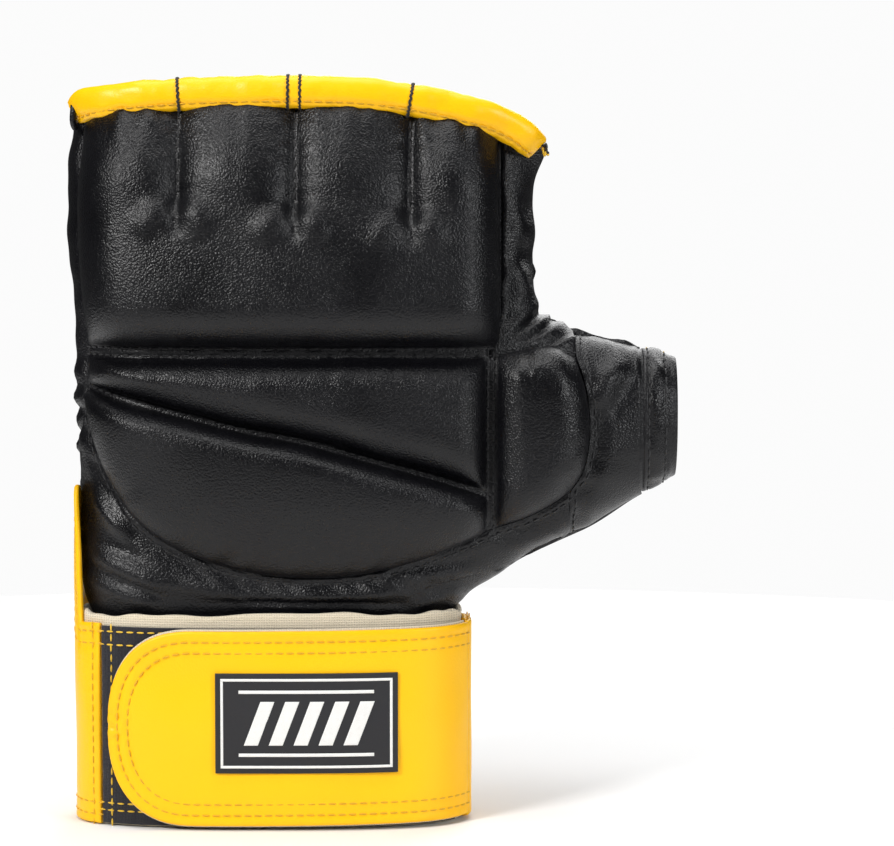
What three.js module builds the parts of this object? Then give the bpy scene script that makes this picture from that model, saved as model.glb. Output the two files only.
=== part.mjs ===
// A fingerless training glove for the left hand, standing on its cuff.
// Units are millimetres. X runs from the little finger to the thumb, -Y is the back of the hand, and Z
// runs up from the cuff's lower rim to the fingers.
import * as THREE from "three";

const { clamp, lerp, smoothstep, degToRad } = THREE.MathUtils;

// ---- Driving dimensions -------------------------------------------------------------------------------

const LEATHER = 1.2; // thickness of the outer synthetic leather
const LINING = 1.0; // thickness of the fabric lining
const CLEAR = 0.35; // clearance between two layers of one panel
const EDGE_THICK = 2.6; // thickness of a padded panel where it is sewn down
const BOUND_EDGE_THICK = 7; // thickness of the knuckle pad where the binding holds it

const HAND_CENTRE_X = -23;
const HAND_HALF_WIDTH = 70;
const CUP = 7; // how far the sides of the hand curve back towards the palm
const HAND_ROUNDING = 24; // width over which the hand's flat faces turn into its sides
const THUMB_ROUNDING = 17;
const THUMB_START_X = 40; // the thumb tube begins to leave the hand here
const THUMB_END_X = 62; // and is a tube of its own from here
const THUMB_HEM_X = 83; // the hem sewn round the thumb's open end starts here
const THUMB_TIP_X = 93.6;

const KNUCKLE_PAD_THICK = 14;
const UPPER_PAD_THICK = 9.5;
const LOWER_PAD_THICK = 11;
const THUMB_PAD_THICK = 9;
const GRIP_ROLL_THICK = 8;

const BINDING_HEIGHT = 9.6; // the rolled edge binding, an oval tube
const BINDING_DEPTH = 6.4;
const BINDING_OUT = 4; // how far its middle stands in front of the lining

const CUFF_CENTRE_X = -30.5;
const CUFF_HALF_WIDTH = 56.3; // inside
const CUFF_HALF_DEPTH = 20.5; // inside
const CUFF_SQUARENESS = 2.8; // exponent of the cuff's superellipse
const CUFF_HEIGHT = 61;
const CUFF_LINING_TOP = 64.5;
const CUFF_LINING_THICK = 1.8;
const LOOP_THICK = 1.0;
const STRAP_GAP = 0.9; // between the loop patch and the strap, taken up by hook and loop pile

// Places round the cuff, in degrees from the middle of the back of the hand towards the thumb.
const STRAP_ROOT_DEG = 78;
const STRAP_PEEL_DEG = -15;
const STRAP_END_DEG = -49;
const BAND_START_DEG = 84;
const LOOP_START_DEG = -55;
const SIDE_TAB_DEG = 270; // a rounded tab of the band covers the wrist seam on the little finger's side
const SIDE_TAB_HALF_DEG = 16;
const SIDE_TAB_RISE = 41;
const LABEL_DEG = [-9.4, 35];
const LABEL_Z = [17.5, 47.7];

// Colours and finishes.
const FINISH = {
  black_leather: { color: 0x141416, roughness: 0.42, metalness: 0 },
  yellow_leather: { color: 0xffc400, roughness: 0.35, metalness: 0 },
  cream_backing: { color: 0xd9cbb2, roughness: 0.9, metalness: 0 },
  black_fabric: { color: 0x101012, roughness: 0.95, metalness: 0 },
  foam: { color: 0x2b2b2e, roughness: 0.9, metalness: 0 },
  label: { color: 0x2a2628, roughness: 0.6, metalness: 0 },
};

// ---- The hand's outline and thickness -----------------------------------------------------------------

// A smooth curve in the plane of the hand through [x, z] points. t runs from 0 to 1.
function curve(...points) {
  const line = new THREE.CatmullRomCurve3(
    points.map(([x, z]) => new THREE.Vector3(x, 0, z)), false, "centripetal");
  return (t) => line.getPointAt(clamp(t, 0, 1));
}

// The three sides of the glove between its open ends, each followed with the glove on its right.
const littleFingerSide = curve([-83, 44], [-83.4, 60], [-86, 70], [-86.9, 90], [-87.3, 106], [-88, 122],
  [-88.5, 146], [-90.6, 168], [-91.3, 188], [-89.4, 213]);
const indexSide = curve([52, 205], [48.4, 192], [47.5, 175], [48.2, 160], [52, 150.8], [62, 146.2],
  [78, 143.6], [96, 141]);
const thumbSide = curve([96, 103.5], [84, 99], [69.5, 91.5], [56, 85.5], [45, 80.5], [37, 75.5],
  [28, 70], [22.6, 61], [22, 44]);
const SIDES = [littleFingerSide, indexSide, thumbSide];

// A value that changes smoothly between stations [at, value], listed in rising order.
function station(stations, at) {
  if (at <= stations[0][0]) return stations[0][1];
  for (let i = 1; i < stations.length; i++) {
    const [a, va] = stations[i - 1], [b, vb] = stations[i];
    if (at <= b) return lerp(va, vb, smoothstep(at, a, b));
  }
  return stations[stations.length - 1][1];
}

const HAND_HALF_DEPTH = [[62, 15.8], [80, 17.5], [100, 19.5], [150, 19.5], [210, 16.5]];
const HAND_MIDDLE_Y = [[55, 0], [100, 1], [150, 1], [190, 2], [212, 5]];
const THUMB_HALF_DEPTH = [[40, 18], [96, 13]];
const THUMB_MIDDLE_Y = [[40, 4], [96, 9]];

const thumbShare = (x) => smoothstep(x, THUMB_START_X, THUMB_END_X);
const rounding = (x) => lerp(HAND_ROUNDING, THUMB_ROUNDING, thumbShare(x));
const halfDepth = (x, z) =>
  lerp(station(HAND_HALF_DEPTH, z), station(THUMB_HALF_DEPTH, x), thumbShare(x));

function middleY(x, z) {
  const cup = CUP * smoothstep(z, 62, 105) * ((x - HAND_CENTRE_X) / HAND_HALF_WIDTH) ** 2;
  const hand = station(HAND_MIDDLE_Y, z) + cup;
  return lerp(hand, station(THUMB_MIDDLE_Y, x), thumbShare(x));
}

const SIDE_SAMPLES = 48;
const sideSegments = SIDES.flatMap((side) =>
  Array.from({ length: SIDE_SAMPLES }, (_, i) =>
    new THREE.Line3(side(i / SIDE_SAMPLES), side((i + 1) / SIDE_SAMPLES))));

function distanceToSide(x, z) {
  const point = new THREE.Vector3(x, 0, z);
  const near = new THREE.Vector3();
  return Math.min(...sideSegments.map((s) => s.closestPointToPoint(point, true, near).distanceTo(point)));
}

const BACK = -1, PALM = 1;

// The lining's outer face at a point of the plan: a pillow that is flat in the middle and round at its sides.
function handSurface(x, z, face) {
  const inside = clamp(1 - distanceToSide(x, z) / rounding(x), 0, 1);
  return new THREE.Vector3(x, middleY(x, z) + face * halfDepth(x, z) * Math.sqrt(1 - inside ** 2), z);
}

// The same surface round a side: s runs along the side and turn goes from -90 (back) to 90 degrees (palm).
function sideSurface(side, s, turn) {
  const at = side(s);
  const along = side(s + 0.01).sub(side(s - 0.01)).normalize();
  const angle = degToRad(turn);
  const inward = rounding(at.x) * (1 - Math.cos(angle));
  at.x += along.z * inward;
  at.z -= along.x * inward;
  at.y = middleY(at.x, at.z) + halfDepth(at.x, at.z) * Math.sin(angle);
  return at;
}

// ---- Solids from surfaces -----------------------------------------------------------------------------

const glove = new THREE.Group();

function addMesh(name, geometry, finish) {
  const mesh = new THREE.Mesh(geometry, new THREE.MeshStandardMaterial(FINISH[finish]));
  mesh.name = name;
  glove.add(mesh);
}

// The unit normal of surface(u, v), from its own slopes.
function normalAt(surface, u, v, flip) {
  const step = 0.004;
  const du = surface(Math.min(u + step, 1), v).sub(surface(Math.max(u - step, 0), v));
  const dv = surface(u, Math.min(v + step, 1)).sub(surface(u, Math.max(v - step, 0)));
  return du.cross(dv).normalize().multiplyScalar(flip ? -1 : 1);
}

// A closed sheet between inner(u, v) and outer(u, v) above surface(u, v), on a grid of nu by nv cells.
// Its normal is du x dv, or the reverse with flip. A ring joins its last column to its first.
function sheet({ surface, nu, nv, inner, outer, flip = false, ring = false }) {
  const columns = ring ? nu : nu + 1;
  const positions = [], index = [];
  for (const offset of [inner, outer])
    for (let j = 0; j <= nv; j++)
      for (let i = 0; i < columns; i++) {
        const u = i / nu, v = j / nv;
        const at = surface(u, v).addScaledVector(normalAt(surface, u, v, flip), offset(u, v));
        positions.push(at.x, at.y, at.z);
      }
  const layer = columns * (nv + 1);
  const vertex = (i, j, side) => side * layer + j * columns + (i % columns);
  const quad = (a, b, c, d) => (flip ? index.push(a, c, b, a, d, c) : index.push(a, b, c, a, c, d));
  for (let j = 0; j < nv; j++)
    for (let i = 0; i < nu; i++) {
      quad(vertex(i, j, 1), vertex(i + 1, j, 1), vertex(i + 1, j + 1, 1), vertex(i, j + 1, 1));
      quad(vertex(i, j, 0), vertex(i, j + 1, 0), vertex(i + 1, j + 1, 0), vertex(i + 1, j, 0));
    }
  for (let i = 0; i < nu; i++) {
    quad(vertex(i, 0, 0), vertex(i + 1, 0, 0), vertex(i + 1, 0, 1), vertex(i, 0, 1));
    quad(vertex(i, nv, 1), vertex(i + 1, nv, 1), vertex(i + 1, nv, 0), vertex(i, nv, 0));
  }
  if (!ring)
    for (let j = 0; j < nv; j++) {
      quad(vertex(0, j, 1), vertex(0, j + 1, 1), vertex(0, j + 1, 0), vertex(0, j, 0));
      quad(vertex(nu, j, 0), vertex(nu, j + 1, 0), vertex(nu, j + 1, 1), vertex(nu, j, 1));
    }
  const geometry = new THREE.BufferGeometry();
  geometry.setAttribute("position", new THREE.Float32BufferAttribute(positions, 3));
  geometry.setIndex(index);
  return geometry;
}

const flat = (height) => () => height;

// Closer steps near 0 and 1 than in the middle.
const ease = (t) => (1 - Math.cos(Math.PI * t)) / 2;

// A patch of the plan between four edges that meet at its corners (a Coons patch), as (u, v) => [x, z].
function patch({ bottom, top, left, right }) {
  const [p00, p10, p01, p11] = [bottom(0), bottom(1), top(0), top(1)];
  return (u, v) => {
    const mix = (key) =>
      (1 - v) * bottom(u)[key] + v * top(u)[key] + (1 - u) * left(v)[key] + u * right(v)[key] -
      ((1 - u) * (1 - v) * p00[key] + u * (1 - v) * p10[key] + (1 - u) * v * p01[key] + u * v * p11[key]);
    return [mix("x"), mix("z")];
  };
}

// A leather panel lying on one face of the hand.
function facePanel(name, face, plan, options) {
  const { nu, nv, inner = flat(0), outer = flat(LEATHER), finish = "black_leather" } = options;
  addMesh(name, sheet({
    surface: (u, v) => handSurface(...plan(ease(u), v), face), nu, nv, inner, outer, flip: face === PALM,
  }), finish);
}

// ---- Back of the hand ---------------------------------------------------------------------------------

// How full a pad is at (u, v): 0 at its sewn edges and 1 over most of it.
function fullness(u, v, softU, softV) {
  const rise = (t, soft) => Math.sqrt(1 - (1 - clamp(Math.min(t, 1 - t) / soft, 0, 1)) ** 2);
  return rise(u, softU) * rise(v, softV);
}

// A cover over a foam block. It is sewn down along its edges, and its top edge may be thicker.
function paddedPanel(name, plan, { thick, nu, nv, softU, softV, topEdge = EDGE_THICK }) {
  const height = (u, v) => lerp(lerp(EDGE_THICK, topEdge, v), thick, fullness(u, v, softU, softV));
  const eased = (u, v) => height(ease(u), ease(v));
  addMesh(name + "_cover", sheet({
    surface: (u, v) => handSurface(...plan(ease(u), ease(v)), BACK), nu, nv,
    inner: (u, v) => eased(u, v) - LEATHER, outer: eased,
  }), "black_leather");
  const margin = 0.07;
  const within = (t) => lerp(margin, 1 - margin, t);
  addMesh(name + "_foam", sheet({
    surface: (u, v) => handSurface(...plan(within(u), within(v)), BACK), nu, nv,
    inner: flat(CLEAR), outer: (u, v) => height(within(u), within(v)) * 0.82 - LEATHER - CLEAR,
  }), "foam");
}

const KNUCKLE_SEAM_X = 39;
const BACK_SEAM_X = 36; // the seam between the back pads and the thumb pad
paddedPanel("knuckle_pad", patch({
  bottom: curve([-85.5, 145.4], [-40, 145], [KNUCKLE_SEAM_X, 145]),
  top: curve([-86, 210], [-57, 213], [-27, 214.4], [3, 213], [25, 209.6], [KNUCKLE_SEAM_X, 206]),
  left: curve([-85.5, 145.4], [-88, 168], [-88.5, 188], [-86, 210]),
  right: curve([KNUCKLE_SEAM_X, 145], [KNUCKLE_SEAM_X, 206]),
}), { thick: KNUCKLE_PAD_THICK, nu: 14, nv: 10, softU: 0.12, softV: 0.16, topEdge: BOUND_EDGE_THICK });

paddedPanel("upper_back_pad", patch({
  bottom: curve([-82.5, 134.5], [-75, 129.6], [-57, 126.6], [-21, 119], [9, 109.4], [BACK_SEAM_X - 1, 100]),
  top: curve([-84.4, 142], [-60, 141.4], [-20, 141], [BACK_SEAM_X - 1, 141]),
  left: curve([-82.5, 134.5], [-84.4, 142]),
  right: curve([BACK_SEAM_X - 1, 100], [BACK_SEAM_X - 1, 141]),
}), { thick: UPPER_PAD_THICK, nu: 12, nv: 6, softU: 0.12, softV: 0.4 });

paddedPanel("lower_back_pad", patch({
  bottom: curve([-82, 112], [-69.5, 92.5], [-57, 84], [-39, 78.6], [-15, 77.2], [15, 81.6],
    [BACK_SEAM_X - 1, 87.6]),
  top: curve([-82.6, 132.4], [-75, 127.8], [-57, 124.8], [-21, 117.2], [9, 107.6], [BACK_SEAM_X - 1, 98]),
  left: curve([-82, 112], [-82.6, 132.4]),
  right: curve([BACK_SEAM_X - 1, 87.6], [BACK_SEAM_X - 1, 98]),
}), { thick: LOWER_PAD_THICK, nu: 12, nv: 6, softU: 0.12, softV: 0.35 });

paddedPanel("thumb_pad", patch({
  bottom: curve([BACK_SEAM_X + 1, 88.2], [47, 91.5], [56, 96.6]),
  top: curve([BACK_SEAM_X + 1, 139.4], [50, 139.8], [61.5, 139.8]),
  left: curve([BACK_SEAM_X + 1, 88.2], [BACK_SEAM_X + 1, 139.4]),
  right: curve([56, 96.6], [63.2, 104.5], [65.6, 118], [64.6, 130], [61.5, 139.8]),
}), { thick: THUMB_PAD_THICK, nu: 8, nv: 8, softU: 0.3, softV: 0.16 });

// A plain four-sided stretch of the back, from corner [x0, z0] to corner [x1, z1].
const rectangle = ([x0, z0], [x1, z1]) => (u, v) => [lerp(x0, x1, u), lerp(z0, z1, v)];

// Linings between the foam and the hand, one each side of the knuckle fold.
const lining = { nu: 16, nv: 4, inner: flat(-LINING - CLEAR), outer: flat(-CLEAR), finish: "black_fabric" };
facePanel("finger_lining", BACK, rectangle([-80, 147], [36, 200]), lining);
facePanel("hand_lining", BACK, rectangle([-78, 96], [36, 139]), lining);

// The leather strip at the bottom of the groove between the knuckle pad and the hand pads.
facePanel("knuckle_fold_strip", BACK, rectangle([-82, 142.6], [44, 144.4]),
  { nu: 14, nv: 1, inner: flat(0.2), outer: flat(1.4) });

// Wrist leather from the lower pad's seam down into the cuff, with a tongue under the thumb pad.
const wristRight = [[20.6, 50], [21.2, 60], [27, 71.4]];
facePanel("wrist_back_panel", BACK, patch({
  bottom: curve([-81.6, 50], [20.6, 50]),
  top: curve([-83, 91], [-79.6, 98], [-69, 88.6], [-57, 81.2], [-39, 75.8], [-15, 74.4], [15, 78.4],
    [33, 85.4], [47, 89], [56, 94], [62.4, 95.4]),
  left: curve([-81.6, 50], [-82.1, 60], [-84.6, 70], [-83.4, 78], [-83, 91]),
  right: curve(...wristRight, [36, 76.8], [56, 87.6], [62.4, 95.4]),
}), { nu: 18, nv: 5 });

// The edge binding: a strip rolled over the knuckle pad's top edge, from side to side.
const bindingLine = curve([-90, 214.3], [-81.5, 217.2], [-57, 219.6], [-21, 220.4], [3, 219.3], [27, 215],
  [39, 211.6], [47, 207], [51.4, 202.4]);
addMesh("edge_binding", sheet({
  surface: (u, v) => {
    const { x, z } = bindingLine(v);
    const at = handSurface(x, z, BACK);
    const angle = 2 * Math.PI * u;
    at.y += -BINDING_OUT + (BINDING_DEPTH / 2 - LEATHER) * Math.cos(angle);
    at.z += (BINDING_HEIGHT / 2 - LEATHER) * Math.sin(angle);
    return at;
  },
  nu: 12, nv: 24, ring: true, inner: flat(0), outer: flat(LEATHER),
}), "yellow_leather");

// ---- Sides --------------------------------------------------------------------------------------------

// A gusset round one side, between places s0 and s1 along it and between two turns round it.
function sidePanel(name, side, [s0, s1], [turn0, turn1], { nu, nv, puff }) {
  const bulge = (u, v) => puff * Math.sin(Math.PI * v);
  addMesh(name, sheet({
    surface: (u, v) => sideSurface(side, lerp(s0, s1, u), lerp(turn0, turn1, v)), nu, nv,
    inner: bulge, outer: (u, v) => bulge(u, v) + LEATHER,
  }), "black_leather");
}

sidePanel("little_finger_side_upper", littleFingerSide, [0.634, 0.955], [-22, 44],
  { nu: 6, nv: 4, puff: 0.2 });
sidePanel("little_finger_side_lower", littleFingerSide, [0.4, 0.595], [-30, 30],
  { nu: 5, nv: 4, puff: 0 });
sidePanel("index_side_panel", indexSide, [0.07, 0.47], [-45, 40], { nu: 7, nv: 5, puff: 1 });
sidePanel("thumb_crotch_panel", indexSide, [0.49, 0.72], [-52, -6], { nu: 4, nv: 5, puff: 1 });

// ---- Palm ---------------------------------------------------------------------------------------------

const palmLeft = (z0, z1) => curve([-82.2, z0], [-82.2, z1]);

facePanel("palm_heel_panel", PALM, patch({
  bottom: curve([-81.6, 50], [20.6, 50]),
  top: curve([-85.2, 78], [38.5, 78]),
  left: curve([-81.6, 50], [-82.1, 60], [-85.2, 78]),
  right: curve(...wristRight, [38.5, 78]),
}), { nu: 12, nv: 4 });

// The long seam round the ball of the thumb, from the wrist up to the thumb's crotch.
const thumbSeam = [[-6, 79.5], [-2, 95], [9, 110], [30, 132.7], [42, 145.5], [48.4, 151.6]];
const thumbSeamOutside = thumbSeam.map(([x, z]) => [x + 1.6, z - 0.8]);
facePanel("palm_centre_panel", PALM, patch({
  bottom: curve([-82.2, 79.5], [-6, 79.5]),
  top: curve([-82.2, 143], [-27, 143.8], [20, 149.6], [48.4, 151.6]),
  left: palmLeft(79.5, 143),
  right: curve(...thumbSeam),
}), { nu: 12, nv: 8 });

facePanel("thumb_palm_panel", PALM, patch({
  bottom: curve([-4.4, 79.5], [39, 79.7], [45, 83], [56, 88], [67, 94]),
  top: curve([50, 150.8], [56, 146.8], [67, 142.6]),
  left: curve(...thumbSeamOutside.slice(0, -1), [50, 150.8]),
  right: curve([67, 94], [67, 142.6]),
}), { nu: 10, nv: 8 });

// The padded roll across the palm that the fingers close on.
const rollPlan = patch({
  bottom: curve([-82.2, 144.6], [-27, 145.4], [20, 151.4], [45, 155]),
  top: curve([-82.2, 165], [-25, 166.3], [25, 171.5], [41, 171]),
  left: palmLeft(144.6, 165),
  right: curve([45, 155], [41, 171]),
});
const rollHeight = (u, v) => LEATHER + 0.9 + (GRIP_ROLL_THICK - LEATHER - 0.9) * Math.sin(Math.PI * v);
facePanel("grip_roll_cover", PALM, rollPlan, {
  nu: 12, nv: 6, inner: (u, v) => rollHeight(u, v) - LEATHER, outer: rollHeight,
});
facePanel("grip_roll_filler", PALM, (u, v) => rollPlan(lerp(0.03, 0.97, u), lerp(0.14, 0.86, v)), {
  nu: 8, nv: 4, finish: "foam", inner: flat(CLEAR),
  outer: (u, v) => (rollHeight(u, lerp(0.14, 0.86, v)) - LEATHER) * 0.85 - CLEAR,
});

// The palm side of the fingers: four lobes with deep notches between them.
const lobeEdge = [
  [-83, 201], [-75, 204], [-67, 203.5], [-60, 194], [-54, 183], [-49, 194], [-45, 205], [-38, 208.5],
  [-31, 210], [-24, 198], [-16.3, 184.5], [-7.5, 199], [1, 215], [8.5, 216.5], [16, 214], [17.4, 200],
  [18.7, 186], [26, 197], [34, 208], [38.5, 209], [42.5, 206.5],
];
const lobeTop = (u) => {
  const at = clamp(u, 0, 1) * (lobeEdge.length - 1);
  const i = Math.min(Math.floor(at), lobeEdge.length - 2);
  const [[x0, z0], [x1, z1]] = [lobeEdge[i], lobeEdge[i + 1]];
  return new THREE.Vector3(lerp(x0, x1, at - i), 0, lerp(z0, z1, at - i));
};
const fingerPlan = patch({
  bottom: curve([-82.2, 166.6], [-25, 167.9], [25, 173.1], [41, 172.6]),
  top: lobeTop,
  left: curve([-82.2, 166.6], [-84.5, 185], [-83, 201]),
  right: curve([41, 172.6], [39.5, 190], [42.5, 206.5]),
});
addMesh("palm_finger_panel", sheet({
  surface: (u, v) => handSurface(...fingerPlan(u, v), PALM),
  nu: lobeEdge.length - 1, nv: 4, inner: flat(0), outer: flat(LEATHER), flip: true,
}), "black_leather");

// ---- Dividers between the fingers ---------------------------------------------------------------------

const FOLD_RADIUS = 1.8;

// A strip folded round the web between two fingers. It is sewn to both edges of a palm notch, and its
// fold is tacked to the back of the glove.
function divider(name, { foldX, notch: [notchX, notchZ], mouthX, mouthHalf, mouthZ }) {
  const strip = (u, v) => {
    const z = lerp(notchZ - 3, mouthZ - 3, v);
    const gapHalf = lerp(2, mouthHalf, v);
    const middleX = lerp(notchX, mouthX, v);
    const side = u < 0.5 ? -1 : 1;
    const backY = handSurface(foldX, z, BACK).y + LINING + CLEAR * 3 + LEATHER / 2 + FOLD_RADIUS;
    const palmY = handSurface(middleX, z, PALM).y - LEATHER;
    if (Math.abs(u - 0.5) <= 0.1) {
      const angle = (u - 0.5) / 0.1 * Math.PI / 2;
      const x = foldX + FOLD_RADIUS * Math.sin(angle);
      return new THREE.Vector3(x, backY - FOLD_RADIUS * Math.cos(angle), z);
    }
    const along = (Math.abs(u - 0.5) - 0.1) / 0.4;
    return new THREE.Vector3(
      lerp(foldX + side * FOLD_RADIUS, middleX + side * gapHalf, along), lerp(backY, palmY, along), z);
  };
  addMesh(name, sheet({
    surface: strip, nu: 10, nv: 4, inner: flat(-LEATHER / 2), outer: flat(LEATHER / 2),
  }), "black_leather");
}

divider("little_finger_divider", { foldX: -56.8, notch: [-54, 183], mouthX: -56, mouthHalf: 9, mouthZ: 204 });
divider("middle_divider", { foldX: -22, notch: [-16.3, 184.5], mouthX: -15, mouthHalf: 11, mouthZ: 209 });
divider("index_divider", { foldX: 12.4, notch: [18.7, 186], mouthX: 25, mouthHalf: 7, mouthZ: 209 });

// ---- Thumb --------------------------------------------------------------------------------------------

const THUMB_SQUARENESS = 2.4;
const thumbTop = (x) => station([[50, 148.6], [62, 146.2], [78, 143.6], [96, 141]], x);
const thumbBottom = (x) => station([[50, 83.2], [56, 85.5], [69.5, 91.5], [84, 99], [96, 103.5]], x);

// A point of a superellipse with unit half-sizes.
function superellipse(angle, exponent) {
  const shape = (value) => Math.sign(value) * Math.abs(value) ** (2 / exponent);
  return [shape(Math.sin(angle)), shape(Math.cos(angle))];
}

// A sleeve round the thumb from x0 to x1.
function thumbRing(name, x0, x1, finish) {
  addMesh(name, sheet({
    surface: (u, v) => {
      const x = lerp(x0, x1, v);
      const [up, back] = superellipse(2 * Math.PI * u, THUMB_SQUARENESS);
      const middle = (thumbTop(x) + thumbBottom(x)) / 2;
      const half = (thumbTop(x) - thumbBottom(x)) / 2;
      return new THREE.Vector3(x, middleY(x, middle) - halfDepth(x, middle) * back, middle + half * up);
    },
    nu: 24, nv: 2, ring: true, flip: true, inner: flat(0), outer: flat(LEATHER),
  }), finish);
}
thumbRing("thumb_sleeve", 68.5, THUMB_HEM_X - 0.6, "black_leather");
thumbRing("thumb_hem", THUMB_HEM_X, THUMB_TIP_X, "black_leather");

// ---- Cuff and closure strap ---------------------------------------------------------------------------

function cuffPoint(degrees, z) {
  const [across, back] = superellipse(degToRad(degrees), CUFF_SQUARENESS);
  return new THREE.Vector3(CUFF_CENTRE_X + CUFF_HALF_WIDTH * across, -CUFF_HALF_DEPTH * back, z);
}

// A layer of the cuff between two places round it, two heights and two offsets from its inside.
// rise(degrees) is added to its upper edge.
function cuffLayer(name, [deg0, deg1], [z0, z1], [inner, outer], finish, options = {}) {
  const { nu = 20, ring = false, rise = flat(0) } = options;
  addMesh(name, sheet({
    surface: (u, v) => {
      const degrees = lerp(deg0, deg1, u);
      return cuffPoint(degrees, lerp(z0, z1 + rise(degrees), v));
    },
    nu, nv: 1, ring, inner: flat(inner), outer: flat(outer),
  }), finish);
}

const sideTab = (degrees) =>
  SIDE_TAB_RISE * Math.sqrt(Math.max(0, 1 - ((degrees - SIDE_TAB_DEG) / SIDE_TAB_HALF_DEG) ** 2));

const bandInner = CUFF_LINING_THICK + CLEAR;
cuffLayer("cuff_lining", [0, 360], [0, CUFF_LINING_TOP], [0, CUFF_LINING_THICK], "cream_backing",
  { nu: 40, ring: true });
cuffLayer("cuff_band", [BAND_START_DEG, 360 + LOOP_START_DEG - 1.2], [0, CUFF_HEIGHT],
  [bandInner, bandInner + LEATHER], "yellow_leather", { nu: 60, rise: sideTab });
cuffLayer("loop_patch", [LOOP_START_DEG, 76], [0.6, CUFF_HEIGHT - 0.6],
  [bandInner, bandInner + LOOP_THICK], "black_fabric");

const strapInner = bandInner + LEATHER + STRAP_GAP;
const backingLayer = [strapInner, strapInner + 0.7];
const leatherLayer = [strapInner + 0.7 + CLEAR, strapInner + 0.7 + CLEAR + LEATHER];
const STRAP_Z = [0.8, CUFF_HEIGHT - 0.8];
const STRAP_TIP_GAP_DEG = 0.9; // between the strap and its end, either side of the peeling line

const strapSpan = [STRAP_PEEL_DEG + STRAP_TIP_GAP_DEG, STRAP_ROOT_DEG];
cuffLayer("strap_backing", strapSpan, STRAP_Z, backingLayer, "cream_backing");
cuffLayer("strap_leather", strapSpan, STRAP_Z, leatherLayer, "yellow_leather");
const labelInner = leatherLayer[1] + CLEAR;
cuffLayer("label_patch", LABEL_DEG, LABEL_Z, [labelInner, labelInner + 0.6], "label", { nu: 10 });

// The rounded end of the strap.
function strapEnd(name, [inner, outer], finish, margin) {
  const [low, high] = STRAP_Z;
  const half = (high - low) / 2 - margin;
  const start = STRAP_PEEL_DEG - STRAP_TIP_GAP_DEG - margin / 2;
  const endAngle = degToRad(74); // the outline stops short of closing to a point
  const straight = 0.35; // share of the columns before the outline starts to round
  addMesh(name, sheet({
    surface: (u, v) => {
      const angle = (Math.max(u - straight, 0) / (1 - straight)) * endAngle;
      const roundStart = lerp(start, STRAP_END_DEG, 0.42);
      const degrees = u < straight
        ? lerp(start, roundStart, u / straight)
        : lerp(roundStart, STRAP_END_DEG + margin / 2, Math.sin(angle) / Math.sin(endAngle));
      return cuffPoint(degrees, (low + high) / 2 + half * Math.cos(angle) * lerp(-1, 1, v));
    },
    nu: 14, nv: 4, flip: true, inner: flat(inner), outer: flat(outer),
  }), finish);
}
strapEnd("strap_end_backing", backingLayer, "cream_backing", 0);
strapEnd("strap_end_leather", leatherLayer, "yellow_leather", 0);
strapEnd("hook_patch", [bandInner + LEATHER + 0.1, strapInner - 0.3], "black_fabric", 5);

export default glove;
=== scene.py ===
"""A fingerless training glove for the left hand: leather, padding, stitching and closure strap.

Lengths inside the shape functions are in millimetres and become metres when a mesh is made. X runs from
the little finger to the thumb, -Y is the back of the hand and Z runs up from the cuff to the fingers.
"""

import math

import bpy
import numpy as np
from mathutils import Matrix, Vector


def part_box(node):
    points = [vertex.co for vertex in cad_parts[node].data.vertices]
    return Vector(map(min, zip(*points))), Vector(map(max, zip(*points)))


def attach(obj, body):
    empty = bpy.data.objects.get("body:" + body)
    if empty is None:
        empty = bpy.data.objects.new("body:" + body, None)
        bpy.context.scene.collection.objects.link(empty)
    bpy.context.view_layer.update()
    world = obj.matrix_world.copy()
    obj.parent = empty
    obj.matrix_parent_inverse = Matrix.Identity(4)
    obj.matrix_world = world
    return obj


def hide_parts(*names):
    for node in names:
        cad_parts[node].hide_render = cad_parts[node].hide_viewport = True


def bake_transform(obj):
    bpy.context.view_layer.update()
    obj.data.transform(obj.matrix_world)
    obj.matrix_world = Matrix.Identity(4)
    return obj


bl_info = {
    "name": "Training Glove",
    "version": (1, 0, 0),
    "blender": (4, 5, 0),
    "location": "View3D > Sidebar > Glove",
    "description": "Builds a padded fingerless training glove round its frame",
    "category": "Add Mesh",
}

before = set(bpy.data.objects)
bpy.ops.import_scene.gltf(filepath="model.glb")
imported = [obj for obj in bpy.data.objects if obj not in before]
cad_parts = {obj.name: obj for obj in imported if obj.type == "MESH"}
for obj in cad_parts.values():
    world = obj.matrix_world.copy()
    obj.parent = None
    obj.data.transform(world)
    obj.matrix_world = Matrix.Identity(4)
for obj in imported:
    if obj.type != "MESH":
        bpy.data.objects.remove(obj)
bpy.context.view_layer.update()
MM = 0.001


def cad_box(*nodes):
    """The box round some CAD nodes, in millimetres, as two corners."""
    corners = np.array([[list(corner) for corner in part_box(node)] for node in nodes]) / MM
    return corners[:, 0].min(0), corners[:, 1].max(0)


# ---- The hand's outline and thickness ---------------------------------------------------------------------

HAND_CENTRE_X = -23.0
HAND_HALF_WIDTH = 70.0
CUP = 7.0  # how far the sides of the hand curve back towards the palm
HAND_ROUNDING = 24.0
THUMB_ROUNDING = 17.0
THUMB_START_X, THUMB_END_X = 40.0, 62.0
THUMB_HEM_X = 83.0
THUMB_TIP_X = 93.6
THUMB_TAPER, THUMB_MIDDLE_Z = 0.075, 122.0  # the leather is drawn in a little towards the thumb's opening
HAND_HALF_DEPTH = [(62, 15.8), (80, 17.5), (100, 19.5), (150, 19.5), (210, 16.5)]
HAND_MIDDLE_Y = [(55, 0), (100, 1), (150, 1), (190, 2), (212, 5)]
THUMB_HALF_DEPTH = [(40, 18), (96, 13)]
THUMB_MIDDLE_Y = [(40, 4), (96, 9)]
BACK, PALM = -1, 1


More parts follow.
